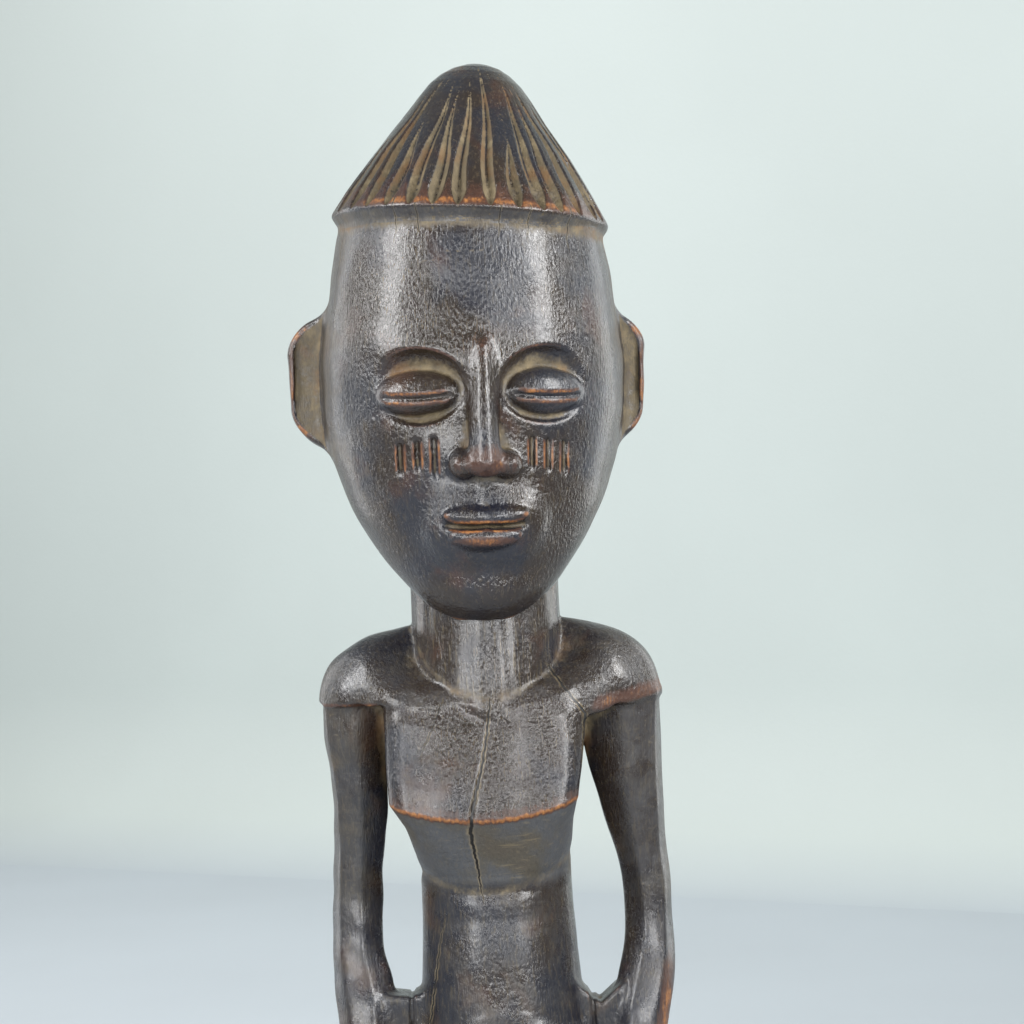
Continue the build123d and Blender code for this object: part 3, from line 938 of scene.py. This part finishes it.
def bodyMarks(block, claimed):
    def marks(points, ridge, hollow):
        x, y, z = points.T
        up, out = z - level["waist"], np.abs(x)
        shares = {}
        for zone, field in claimed.items():
            shares[zone] = np.exp(-np.clip(readAt(field, block, points), -1, 20) / 0.8)
        total = sum(shares.values())
        on = {zone: shares.get(zone, 0) / total for zone in finish}
        arms = {side: shares.get(side + "_arm", 0) / total for side in sides}
        pebbly, stroked, film, bare = finishOf(shares)
        wear = smoothStep(ridge, 0.07, 0.22) * bare
        dust = smoothStep(-hollow, 0.25, 1.1) * (dusty["hollows"] - 0.4 * (on["neck"] + on["shoulders"]))
        front = y < 0

        line = np.interp(x, *zip(*neckFoot["line"])) + level["shoulder"]
        near = bell(z - line, neckFoot["wide"]) * front * (out < 23.5)
        back = bell(np.hypot(x, y) - 23.5, 1.4) * (y > -6) * on["shoulders"]
        settled = dusty["neckFoot"] * np.maximum(near, dusty["neckBack"] * back)
        dust = np.maximum(dust, settled * (on["neck"] + on["shoulders"] + on["chest"]))

        onTrunk = on["waist"] + on["chest"]
        dust = np.maximum(dust, dusty["valley"] * bell(aboveValley(x, up), 1.8) * front * onTrunk)
        ledge = up - ledgeRise(x) - trunk["ledgeUp"]
        ledge = ledge + 0.16 * np.sin(x * 1.3) + 0.12 * np.sin(x * 3.1 + 1)
        onFront = smoothStep(-12 - y, 0, 3) * onTrunk
        wear = np.maximum(wear, rubbed["ledge"] * bell(ledge - 0.3, 1.0) * onFront)
        wear = np.maximum(wear, rubbed["overLedge"] * bell(ledge - 2.2, 1.9) * onFront)
        below = smoothStep(0.5 - ledge, 0, 1.5) * onTrunk * smoothStep(-y, -16, 6)
        # below the ledge, on the front, the film is raised and a little dust laid on as a painted
        # reflection of the bright floor on these down-facing ribs, over their real matt grey-brown film
        ribsWithPaintedGlow = below * smoothStep(up, 0, 6)
        pebbly = pebbly * (1 - below) + 0.5 * below
        film = film * (1 - ribsWithPaintedGlow) + 0.92 * ribsWithPaintedGlow
        stroked = stroked * (1 - ribsWithPaintedGlow) + 0.12 * ribsWithPaintedGlow
        dust = np.maximum(dust, dusty["ribsWithPaintedGlow"] * ribsWithPaintedGlow)

        edge = z - level["shoulder"] - np.where(x > 0, leftLedge(out), 0)
        onLeft = smoothStep(x, 27, 33) * front * on["shoulders"]
        onRight = smoothStep(-x, 30, 35) * front * on["shoulders"]
        wear = np.maximum(wear, rubbed["leftShoulder"] * onLeft * bell(edge - 2.7, 2.7))
        outer = smoothStep(x, 38, 50) * onLeft
        wear = np.maximum(wear, rubbed["leftShoulderEdge"] * outer * bell(edge - 1.5, 1.3))
        wear = np.maximum(wear, rubbed["rightShoulderEdge"] * onRight * bell(edge - 0.3, 0.7))

        # painted shade: each arm's film is thinned on its inner side, where arm and trunk shade each other,
        # so the darker wood shows there; the film also thins on the arm's lower part
        for side, share in arms.items():
            inner = smoothStep(42 - x * sides[side], 0, 8) * share
            film = film * (1 - 0.5 * inner) * (1 - 0.45 * smoothStep(210 - z, 0, 30) * share)
        worn = np.interp(z, *zip(*rubbed["foreArmAt"]))
        foreArm = bell(x - worn, 2.2) * smoothStep(192 - z, 0, 26) * (y < 6) * arms["left"]
        wear = np.maximum(wear, rubbed["foreArm"] * foreArm)
        inWebs = (z < level["hips"] + 24) * (z > level["groin"] + 18)
        for side, way in sides.items():
            crease = bell(x * way - creaseAt(side, z), 0.9) * inWebs * (1 - arms[side])
            dust, wear = dust * (1 - crease), wear * (1 - np.minimum(crease * 3, 1))
        side, wide = crackMarks(points, y < -11)
        return {"wear": wear, "dust": dust, "crackSide": side, "crackWide": wide,
                "pebbly": pebbly, "stroked": stroked, "film": film}
    return marks


pieces = []


def finishPiece(piece, node):
    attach(piece, "root")
    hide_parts(node)
    pieces.append(piece)


def carveBody():
    zones = ["base", "hips", "waist", "chest", "shoulders", "neck"]
    zones += [f"{side}_{part}" for side in sides for part in ("foot", "calf", "thigh", "arm", "hand")]
    for zone in zones:
        low, high = nodeBox(zone)
        grow = {"hips": 2, "left_hand": 4, "right_hand": 4, "shoulders": 4}.get(zone, 1)
        block = Block(low - grow, high + grow, stepOf(0.8 if zone == "chest" else 1.0))
        fields = bodyFields(block)
        whole = wholeBody(fields)
        claimed = claims(fields, block)
        others = [field for name, field in claimed.items() if name != zone]
        region = (claimed[zone] - np.minimum.reduce(others)) / 2
        piece = makePiece(zone + "Wood", block, whole, region, bodyMarks(block, claimed), wood)
        finishPiece(piece, zone)


carveBody()

# the head, in its own axes: upright, facing -Y, measured up from the chin
def headPlace():
    # the head's turn and roll, from the line between the ears, and its foot at the chin
    leftEar = sum(nodeBox("left_ear")) / 2
    rightEar = sum(nodeBox("right_ear")) / 2
    line = leftEar - rightEar
    turn = math.atan2(line[1], line[0])
    roll = math.atan2(-line[2], math.hypot(line[0], line[1]))
    axes = Matrix.Rotation(roll, 4, "Y") @ Matrix.Rotation(turn, 4, "Z")
    foot = Vector(((leftEar + rightEar) / 2)) - axes @ Vector((0, 6, 0))
    down = axes @ Vector((0, 0, 1))
    foot = foot - down * ((foot.z - level["chin"]) / down.z)
    return Matrix.Translation(foot * mm) @ axes


headFrame = headPlace()
rimUp = 111.0
capTilt = 3.4  # how much more the cap leans to its left than the head does

skull = {
    # up from the chin, middle back, half width, half depth
    "rows": [
        (-3, -21.0, 6.0, 5.0),
        (0, -20.4, 12.5, 9.6),
        (5, -17.6, 19.0, 16.4),
        (12, -13.2, 25.2, 22.6),
        (22, -7.0, 32.4, 30.6),
        (34, -1.8, 38.6, 38.0),
        (48, 0.8, 42.8, 41.6),
        (60, 1.4, 44.6, 43.2),
        (72, 1.6, 45.0, 43.8),
        (86, 1.6, 43.6, 43.0),
        (100, 1.0, 41.8, 41.2),
        (111, 0.6, 39.7, 39.6),
        (118, 0.4, 37.6, 37.6),
        (126, 0.4, 35.0, 35.0),
    ],
}

face = {
    "brow": 74.0,
    "eyeUp": 63.5,
    "eyeOut": 19.0,
    "noseBase": 38.0,
    "mouthUp": 25.0,
    "cheekCuts": (13.8, 18.6, 23.4),
    "cheekCutLow": 39.0,
    "cheekCutHigh": 51.0,
    "cheekCutDeep": 1.5,
}


def faceAt(out, up):
    # how far forward the bare skull's face is at that place
    back, wide, deep = [float(v[0]) for v in curve(skull["rows"], np.array([up]))]
    return back - deep * math.sqrt(max(0.02, 1 - (out / wide) ** 2))


def skullField(x, y, z):
    back, wide, deep = curve(skull["rows"], z)
    return np.maximum(ovalPost(x, y - back, wide, deep), between(z, -2.2, 124))


eye = {
    "turn": 21,  # degrees that it looks outwards
    "upper": (12.4, 17.0),  # height and half width of the socket's upper arch
    "lower": (9.6, 16.4),
    "halfWide": 16.6,
    "bowl": (18.5, 8.4, 13.5),
    "bowlAt": (0, -3.4, 0.8),
    "lid": (12.6, 5.8, 6.6),
    "lidAt": (0, 3.6, -0.6),
    "slitDeep": 1.0,
    "slitWide": 0.85,
    "lashDeep": 0.25,  # the thin raised edge on each side of the slit
}


def arch(u, height, halfWide):
    return height * np.sqrt(np.clip(1 - (u / halfWide) ** 2, 0, 1))


def eyeShapes(x, y, z, out):
    # an almond socket with a closed, gently arched lid in it
    up, aside = face["eyeUp"], out * face["eyeOut"]
    turn = out * eye["turn"]
    skin = faceAt(face["eyeOut"], up)
    c, s = math.cos(math.radians(turn)), math.sin(math.radians(turn))
    u = (x - aside) * c + (y - skin) * s
    v = (y - skin) * c - (x - aside) * s
    w = z - up
    upper = arch(u, *eye["upper"]) + 0.6 * u * out / 17
    lower = -arch(u, *eye["lower"])
    rim = np.maximum(w - upper, lower - w) * 0.8
    rim = np.maximum(rim, np.abs(u) - eye["halfWide"])
    socket = common(rim, egg(u, v, w, eye["bowlAt"], eye["bowl"]), 1.6)
    lid = egg(u, v, w, eye["lidAt"], eye["lid"])
    seam = w + 1.3 + 1.0 * (1 - (u / 11) ** 2)
    slit = np.maximum(0, 1 - np.abs(seam) / eye["slitWide"]) * smoothStep(11.2 - np.abs(u), 0, 2.5)
    lash = bell(np.abs(seam) - 1.9, 0.75) * smoothStep(11.6 - np.abs(u), 0, 3.5)
    lid = lid + eye["slitDeep"] * slit - eye["lashDeep"] * lash
    return socket, lid


nose = {
    "length": 7.5,  # from the skin to the tip
    "bridge": (3.6, 4.7),  # radius at the root and at the tip
    "crest": (1.3, 2.0),
    "wing": (3.9, 5.2, 4.1),
    "wingOut": 6.3,
    "wingTurn": 14,
}
noseTip = (0, faceAt(0, face["noseBase"] + 5) - nose["length"], face["noseBase"] + 5.0)


def noseField(x, y, z):
    root = (0, faceAt(0, face["brow"]) + 2.2, face["brow"] + 1)
    tip = (0, noseTip[1] + 2.5, noseTip[2])
    shape = rod(x, y, z, root, tip, *nose["bridge"])
    crest = rod(x, y, z, (0, root[1] - 3.0, root[2]), (0, tip[1] - 3.6, tip[2] - 0.5), *nose["crest"])
    shape = join(shape, crest, 1.6)
    for out in (1, -1):
        middle = (out * nose["wingOut"], tip[1] + 2.6, face["noseBase"] + 4.2)
        shape = join(shape, egg(x, y, z, middle, nose["wing"], out * nose["wingTurn"]), 2.4)
    return common(shape, face["noseBase"] - z + 0.10 * (y + 42), 1.8)


mouth = {
    "mound": (15.5, 5.8, 10.0),
    "upper": (12.6, 3.8, 3.5),
    "lower": (10.6, 3.8, 3.7),
    "lineDeep": 1.3,
    "philtrumDeep": 0.6,
    "chin": (9.5, 4.6, 7.5),
    "chinAt": (0, -29.5, 7.5),
}


def mouthField(x, y, z, shape):
    up = face["mouthUp"]
    skin = faceAt(0, up)
    mound = egg(x, y, z, (0, skin + 3.6, up + 0.2), mouth["mound"])
    shape = join(shape, mound, 7.0)
    away = np.clip(np.abs(x) / 12.5, 0, 1)
    bow = 1.1 * bell(x, 1.9) * (z > up + 1) + 0.9 * away ** 2
    upper = egg(x, y, z - 0.9 * away ** 2, (0, skin - 2.0, up + 2.2), mouth["upper"]) + 0.4 * bow
    lower = egg(x, y, z - 0.7 * away ** 2, (0, skin - 1.7, up - 3.2), mouth["lower"])
    shape = join(shape, join(upper, lower, 0.6), 1.5)
    line = z - up + 0.6 - 1.0 * away ** 2 - 0.5 * bell(x, 2.4)
    part = np.maximum(0, 1 - np.abs(line) / 1.0) * smoothStep(13.2 - np.abs(x), 0, 3.0)
    shape = shape + mouth["lineDeep"] * part * (y < skin + 4)
    philtrum = bell(x, 1.8) * smoothStep(z, up + 4, up + 6) * smoothStep(face["noseBase"] - z, 0, 3)
    shape = shape + mouth["philtrumDeep"] * philtrum * (y < -30)
    return join(shape, egg(x, y, z, mouth["chinAt"], mouth["chin"]), 5.0)


def headField(x, y, z):
    shape = skullField(x, y, z)
    lids = []
    for out in (1, -1):
        socket, lid = eyeShapes(x, y, z, out)
        shape = cut(shape, socket, 0.7)
        lids.append(lid)
    for lid in lids:
        shape = join(shape, lid, 1.5)
    shape = join(shape, noseField(x, y, z), 2.6)
    shape = mouthField(x, y, z, shape)
    for number, place in enumerate(face["cheekCuts"]):
        for out in (1, -1):
            low = face["cheekCutLow"] + 1.2 * math.sin(number * 2 + out)
            high = face["cheekCutHigh"] - 0.6 * number
            line = np.abs(x - out * (place + 0.02 * (z - low))) / 1.1
            ends = smoothStep(z, low, low + 3) * smoothStep(high - z, 0, 1.5)
            shape = shape + np.maximum(0, 1 - line) * ends * face["cheekCutDeep"] * (y < -15)
    shape = common(shape, z - 121, 1.0)
    return shape + 0.22 * ripple(x, y, z, 16, 53)


ear = {
    "height": 34.5,
    "middleUp": 69.0,
    "reach": {"left": 52.4, "right": 55.0},
    "root": 38.0,
    "front": 1.0,
    "thick": 8.5,
    "corner": 8.5,
    "bowl": 2.3,
    "rim": 1.5,
    "slant": 14.0,
    "fillet": 4.5,  # where it runs into the head
}


def earField(side, x, y, z):
    out = sides[side]
    u, w = x * out, z - ear["middleUp"]
    reach = ear["reach"][side]
    slant = math.tan(math.radians(ear["slant"]))
    v = y - ear["front"] - slant * (u - ear["root"])
    middle, half = (ear["root"] + reach) / 2, (reach - ear["root"]) / 2
    tall = ear["height"] / 2 - 1.6 + 0.42 * (reach - u)
    plate = roundedPost(u - middle - 0.05 * w, w, half, tall, min(ear["corner"], half - 0.5)) * 0.93
    shape = common(plate, between(v, 0, ear["thick"] - 0.12 * (u - ear["root"])), 1.5)
    rim = ear["rim"]
    inner = roundedPost(u - middle + rim * 1.1, w, half, tall - rim * 1.3, min(6.0, half - 0.5))
    bowl = common(inner, v - ear["bowl"] + 0.010 * w * w, 1.6)
    return cut(shape, bowl, 1.3) + 0.12 * ripple(x, y, z, 8, 61)


cap = {
    # up from the cap's foot, radius
    "rows": [(-3, 36.0), (0, 38.9), (1.5, 39.6), (4.3, 41.5), (5.2, 41.2), (12, 37.2), (24, 29.3),
             (34, 21.8), (41, 17.2), (45.5, 13.8), (48.5, 10.6), (50.4, 7.6), (51.7, 4.0), (52.3, 0.0),
             (60, -20.0)],
    "tip": 52.0,
    "grooves": 33,
    "grooveWide": 2.5,
    "grooveDeep": 2.3,
    "sag": 0.7,
    "foot": -2.6,
    "fillet": 1.0,
}


def grooveSet():
    # each groove's direction, its upper end and how it wanders
    dice = np.random.default_rng(7)
    count = cap["grooves"]
    around = (np.arange(count) + dice.uniform(-0.16, 0.16, count)) * 2 * math.pi / count
    tops = np.where(np.arange(count) % 2 == 0, dice.uniform(44, 49, count), dice.uniform(38, 45, count))
    tops[dice.choice(count, 7, replace=False)] = dice.uniform(25, 33, 7)
    tops[0] = 53
    return around, tops, dice.uniform(0, 6.28, count), dice.uniform(0.85, 1.15, count)


def grooveCut(x, y, z):
    # how deep the grooves go at each point, before the taper at the tip
    around, tops, phase, width = grooveSet()
    count = cap["grooves"]
    out = np.sqrt(x * x + y * y)
    turn = np.mod(np.arctan2(y, x) + 1.50, 2 * math.pi)
    places = np.concatenate([around, [around[0] + 2 * math.pi]])
    index = np.interp(turn, places, np.arange(count + 1), left=0, right=count)
    nearest = np.mod(np.rint(index).astype(int), count)
    off = turn - around[nearest]
    off = np.mod(off + math.pi, 2 * math.pi) - math.pi
    wander = 0.55 * np.sin(z * 0.16 + phase[nearest]) * smoothStep(z, 6, 20)
    across = off * out + wander
    room = out * math.pi / count
    crowding = 0.70 + 0.12 * smoothStep(tops[nearest], 36, 42) * smoothStep(z, 24, 36)
    half = np.minimum(cap["grooveWide"] * width[nearest], room * crowding)
    rise = (tops[nearest] - z) / (tops[nearest] - 6)
    taper = np.clip(rise * 1.7, 0, 1) ** 0.8
    foot = np.sqrt(np.clip((z - 4.7) / 4.4, 0, 1))
    half = np.maximum(half * taper * foot, 0.05)
    share = np.clip(1 - np.abs(across) / half, 0, 1)
    depth = cap["grooveDeep"] * np.minimum(half / cap["grooveWide"], 1)
    return (depth * share ** 0.8).astype(np.float32), share.astype(np.float32)


def capField(x, y, z):
    radius = curve(cap["rows"], z, straight=True)[0]
    out = np.sqrt(x * x + y * y)
    around = np.arctan2(y, x)
    edge = cap["sag"] * np.sin(around * 3 + 0.6) + 0.35 * np.sin(around * 8)
    shape = (out - radius) * 0.74
    shape = np.maximum(shape, between(z + edge * 0.25, cap["foot"], cap["tip"] + 4))
    depth, share = grooveCut(x, y, z)
    scallop = 0.45 * smoothStep(share, 0.1, 0.9) * bell(z - 5.4, 2.2)
    return shape + depth + scallop + 0.16 * ripple(x, y, z, 15, 71)


# which way round each crack lies, in radians, and how far it runs from the cap's rim
rimSplits = [(-2.20, 7), (-2.02, 5), (-1.42, 5), (-1.20, 6), (-0.85, 7), (0.9, 6), (2.3, 7)]
sideSplits = [(-0.22, 26), (-2.86, 34), (1.5, 40)]
browScratches = [(103.0, -12.0, 3.5), (100.8, -20.0, -10.5), (103.6, 16.0, 21.0)]  # up, from, to


def capAxes():
    foot = headFrame @ Vector((0, 0, rimUp * mm))
    lean = headFrame.to_3x3().to_4x4() @ Matrix.Rotation(math.radians(capTilt), 4, "Y")
    return Matrix.Translation(foot) @ lean


capFrame = capAxes()


def toCapAxes(x, y, z):
    # points in the head's axes, seen from the cap's
    c, s = math.cos(math.radians(capTilt)), math.sin(math.radians(capTilt))
    up = z - rimUp
    return x * c - up * s, y, x * s + up * c


def toHeadAxes(x, y, z):
    c, s = math.cos(math.radians(capTilt)), math.sin(math.radians(capTilt))
    return x * c + z * s, y, z * c - x * s + rimUp


def splitMarks(splits, around, across, down, wide):
    # signed distance across the nearest of these cracks, and how wide it is there
    side, found = np.full(len(around), 4.0), np.zeros(len(around))
    for place, reach in splits:
        off = (around - place) * across[0] + across[1]
        near = (np.abs(off) < 2) & (down < reach)
        side, found = np.where(near, off, side), np.where(near, wide(reach - down), found)
    return side, found


def capMarks(points, ridge, hollow):
    x, y, z = points.T
    pebbly, stroked, film, bare = finishOf({"cap": np.ones(len(points))})
    share = grooveCut(x, y, z)[1]
    inGroove = smoothStep(share, 0.04, 0.26) * (0.92 - 1.1 * smoothStep(share, 0.74, 0.98))
    dust = np.maximum(smoothStep(-hollow, 0.25, 1.1) * dusty["hollows"] * 0.3, inGroove)
    onRidge = 1 - smoothStep(share, 0.0, 0.3)
    rim = bell(z - 6.0, 1.6) * onRidge * (0.26 + 0.60 * smoothStep(-y, 12, 34))
    wear = smoothStep(ridge, 0.05, 0.18) * bare
    wear = np.maximum(wear * np.where(z > 9, 0.5, 0.8), rim)
    wear = np.maximum(wear, 0.40 * bell(z - 8.5, 5.0) * onRidge)
    band = smoothStep(4.3 - z, 0, 1.0)  # the plain band under the grooves
    wear = wear * (1 - 0.85 * band)
    film = film + (0.55 - film) * band
    dust = np.maximum(dust * (1 - band), 0.25 * band)
    side, wide = splitMarks(rimSplits, np.arctan2(y, x), (40, 0), z, lambda left: 0.30)
    return {"wear": wear, "dust": dust, "crackSide": side, "crackWide": wide,
            "pebbly": pebbly, "stroked": stroked, "film": film}


def scratchesOn(x, y, z):
    # pale scratches across the brow
    found = 0
    for low, left, right in browScratches:
        line = bell(z - low - 0.02 * x - 0.35 * np.sin(x * 0.45), 0.3) * (0.55 + 0.45 * np.sin(x * 1.9))
        line = line * smoothStep(x, left, left + 3) * smoothStep(right - x, 0, 3)
        found = np.maximum(found, line * (y < -20))
    return found


def headMarks(zone):
    def marks(points, ridge, hollow):
        x, y, z = points.T
        pebbly, stroked, film, bare = finishOf({zone: np.ones(len(points))})
        overRim = toCapAxes(x, y, z)[2]
        under = np.exp(-np.maximum(-overRim - 0.5, 0) / 2.2)
        dust = np.maximum(smoothStep(-hollow, 0.25, 1.1) * dusty["hollows"], 0.62 * under)
        wear = smoothStep(ridge, 0.05, 0.18) * bare * (1 - under)
        if zone == "head":
            aside = smoothStep(y, -30, -6)
            stroked = stroked + (0.9 - stroked) * aside
            pebbly = pebbly * (1 - 0.65 * aside)
            film = film + (0.5 - film) * aside
            wear = np.maximum(wear, 0.30 * np.exp(-(x / 8) ** 2 - ((z - 76) / 7) ** 2) * (y < -20))
            dust = np.maximum(dust, scratchesOn(x, y, z))
            tip = ((x / 7.5) ** 2 + ((y - noseTip[1]) / 5.0) ** 2 + ((z - noseTip[2]) / 5.5) ** 2)
            lip = (x / 9.5) ** 2 + ((z - face["mouthUp"] + 4.4) / 1.5) ** 2
            wear = np.maximum(wear, 0.80 * np.exp(-tip * 1.3))
            wear = np.maximum(wear, 0.85 * np.exp(-lip) * (y < -34))
        else:
            bowl = (1 - smoothStep(ridge, 0.0, 0.05)) * (y < ear["front"] + ear["thick"] * 0.8)
            dust = np.maximum(dust, 0.72 * bowl)
            corner = bell(np.abs(z - ear["middleUp"]) - ear["height"] / 2 + 3.2, 2.6)
            rim = smoothStep(np.abs(x), ear["root"] + 8, ear["root"] + 11) * corner * (ridge > 0.03)
            wear = np.maximum(wear, 0.95 * rim)
        side, wide = splitMarks(
            rimSplits + sideSplits, np.arctan2(y, x), (38, 0.3 * np.sin(z * 0.9)), -overRim,
            lambda left: np.clip(left / 3, 0, 1) * 0.26,  # narrowing to nothing at its end
        )
        return {"wear": wear, "dust": dust, "crackSide": side, "crackWide": wide,
                "pebbly": pebbly, "stroked": stroked, "film": film}
    return marks


def carveHead():
    spans = {
        "head": ((-47, -54, -3), (47, 47, 121), 1.0),
        "left_ear": ((36, -4, 48), (56, 20, 90), 0.85),
        "right_ear": ((-58, -4, 48), (-36, 20, 90), 0.85),
    }
    for zone, (low, high, share) in spans.items():
        block = Block(np.array(low, float), np.array(high, float), stepOf(share))
        x, y, z = block.x, block.y, block.z
        fields = {"head": headField(x, y, z)}
        for side in sides:
            if zone in ("head", side + "_ear"):
                fields[side + "_ear"] = earField(side, x, y, z)
        if zone == "head":
            fields["cap"] = capField(*toCapAxes(x, y, z))
        whole = fields["head"]
        for name, field in fields.items():
            if name != "head":
                whole = join(whole, field, ear["fillet"] if name.endswith("ear") else cap["fillet"])
        others = [field for name, field in fields.items() if name != zone]
        region = (fields[zone] - np.minimum.reduce(others)) / 2
        name = zone.replace("_e", "E") + "Wood"
        piece = makePiece(name, block, whole, region, headMarks(zone), wood, headFrame)
        finishPiece(piece, zone)
    block = Block(np.array((-42.0, -42, -4)), np.array((42.0, 42, 52)), stepOf(0.75))
    x, y, z = block.x, block.y, block.z
    capShape = capField(x, y, z)
    headShape = headField(*toHeadAxes(x, y, z))
    whole = join(headShape, capShape, cap["fillet"])
    region = np.maximum((capShape - headShape) / 2, cap["foot"] - z)
    piece = makePiece("capWood", block, whole, region, capMarks, wood, capFrame)
    finishPiece(piece, "cap")


carveHead()

room = {
    "floorColour": (0.60, 0.645, 0.695),
    "wallColour": (0.70, 0.757, 0.735),
    "airColour": (0.92, 0.97, 0.95),
    "airLight": 0.44,
    "wallBack": 1.22,  # behind the figure's middle
    "wallTurn": -31.0,  # degrees; the wall comes nearer on the right
    "sweep": 0.16,  # radius of the curve at the wall's foot
    "under": 0.0004,  # how far the wall's foot dips under the floor
    "near": 1.6,  # the floor's reach in front of the figure
    "behind": 1.6,  # and behind the wall
    "width": 4.0,
    "height": 2.2,
}


def paintedPaper(name):
    # white card that turns from the floor's tone to the wall's by the mark on its points
    shop = Shop(name)
    place = shop.node("ShaderNodeTexCoord", output="Object")
    cloud = shop.noise(place, 3.0, 3, 0.5)
    tone = shop.mix(shop.mark("onWall"), room["floorColour"], room["wallColour"])
    tone = shop.mix(cloud.rise(0.3, 0.7) * 0.06, tone, (0.2, 0.2, 0.2))
    fine = shop.noise(place, 260.0, 2, 0.5)
    relief = shop.node("ShaderNodeBump", {}, {"Strength": 0.1, "Distance": mm, "Height": fine})
    inputs = {"Base Color": tone, "Roughness": 0.7, "Normal": relief}
    shader = shop.node("ShaderNodeBsdfPrincipled", {}, inputs)
    shop.node("ShaderNodeOutputMaterial", {}, {"Surface": shader})
    return shop.material


def sheetOfPaper(name, outline, paint, turn=0.0):
    # a strip of card as wide as the room, bent along its outline of (back, up, how much wall)
    half = room["width"] / 2
    corners = [(side * half, back, up) for back, up, _ in outline for side in (-1, 1)]
    faces = [(2 * i, 2 * i + 1, 2 * i + 3, 2 * i + 2) for i in range(len(outline) - 1)]
    mesh = bpy.data.meshes.new(name)
    mesh.from_pydata(corners, [], faces)
    mesh.polygons.foreach_set("use_smooth", [True] * len(faces))
    layer = mesh.attributes.new("onWall", "FLOAT", "POINT")
    layer.data.foreach_set("value", [share for *_, share in outline for side in (-1, 1)])
    mesh.materials.append(paint)
    paper = bpy.data.objects.new(name, mesh)
    paper.rotation_euler.z = math.radians(turn)
    bpy.context.scene.collection.objects.link(paper)


def makeRoom():
    back, sweep = room["wallBack"], room["sweep"]
    paint = paintedPaper("cardPaint")
    wall = []
    for degrees in range(0, 91, 5):
        angle = math.radians(degrees)
        share = min(1.0, degrees / 90 * 2.2)  # how much of the wall's tone it has
        up = sweep - sweep * math.cos(angle) - room["under"]
        wall.append((back - sweep + sweep * math.sin(angle), up, share))
    wall.append((back, room["height"], 1.0))
    sheetOfPaper("floor", [(-room["near"], 0, 0), (back + room["behind"], 0, 0)], paint)
    sheetOfPaper("wall", wall, paint, room["wallTurn"])


lamps = {
    # place, aim height, size, watts, what it falls on
    "leftWindow": ((-0.52, -0.26, 0.60), 0.34, (0.21, 0.36), 4.5, "figure"),
    "rightWindow": ((0.47, -0.32, 0.57), 0.34, (0.19, 0.36), 4.9, "figure"),
    "frontLeft": ((-0.40, -0.92, 0.36), 0.24, (0.40, 0.17), 4.2, "all"),
    "frontRight": ((0.36, -0.95, 0.38), 0.24, (0.36, 0.17), 4.2, "all"),
    "backLeft": ((-0.75, 0.50, 0.45), 0.33, (0.3, 0.8), 2.5, "figure"),
    "backRight": ((0.70, 0.50, 0.45), 0.33, (0.3, 0.8), 2.5, "figure"),
    "wallWash": ((-1.10, 0.35, 1.60), 0.6, (1.2, 0.6), 28.0, "card"),
}


def keepTo(lamp, falls):
    # keeps the lamp's light off the card, or off everything else
    card = bpy.data.collections.new(lamp.name + "Card")
    for name in ("floor", "wall"):
        card.objects.link(bpy.data.objects[name])
    for held in card.collection_objects:
        held.light_linking.link_state = "INCLUDE" if falls == "card" else "EXCLUDE"
    lamp.light_linking.receiver_collection = card


def makeLamp(name, place, aim, size, watts, falls):
    light = bpy.data.lights.new(name, "AREA")
    light.shape, light.size, light.size_y = "RECTANGLE", size[0], size[1]
    light.energy = watts
    lamp = bpy.data.objects.new(name, light)
    lamp.location = place
    lamp.rotation_euler = (Vector((0, 0, aim)) - Vector(place)).to_track_quat("-Z", "Y").to_euler()
    bpy.context.scene.collection.objects.link(lamp)
    if falls != "all":
        keepTo(lamp, falls)


def makeWorld():
    world = bpy.data.worlds.new("softLight")
    bpy.context.scene.world = world
    world.use_nodes = True
    glow = world.node_tree.nodes["Background"]
    glow.inputs["Color"].default_value = (*room["airColour"], 1)
    glow.inputs["Strength"].default_value = room["airLight"]


view = {
    "aimRight": 9.35,  # mm from the figure's middle
    "aimUp": 315.0,
    "distance": 700.0,
    "across": 307.2,  # mm across the view at the figure
    "roll": -2.8,  # degrees
    "sensor": 36,
}


def makeCamera():
    data = bpy.data.cameras.new("camera")
    data.sensor_width = view["sensor"]
    data.lens = view["sensor"] * view["distance"] / view["across"]
    data.clip_start, data.clip_end = 0.05, 20
    camera = bpy.data.objects.new("camera", data)
    camera.location = (view["aimRight"] * mm, -view["distance"] * mm, view["aimUp"] * mm)
    upright = Matrix.Rotation(math.radians(90), 4, "X")
    camera.rotation_euler = (upright @ Matrix.Rotation(math.radians(view["roll"]), 4, "Z")).to_euler()
    bpy.context.scene.collection.objects.link(camera)
    bpy.context.scene.camera = camera


makeRoom()
for lampName, settings in lamps.items():
    makeLamp(lampName, *settings)
makeWorld()
makeCamera()
bpy.context.scene.view_settings.view_transform = "Standard"
print("room, lamps and camera set,", len(pieces), "pieces")
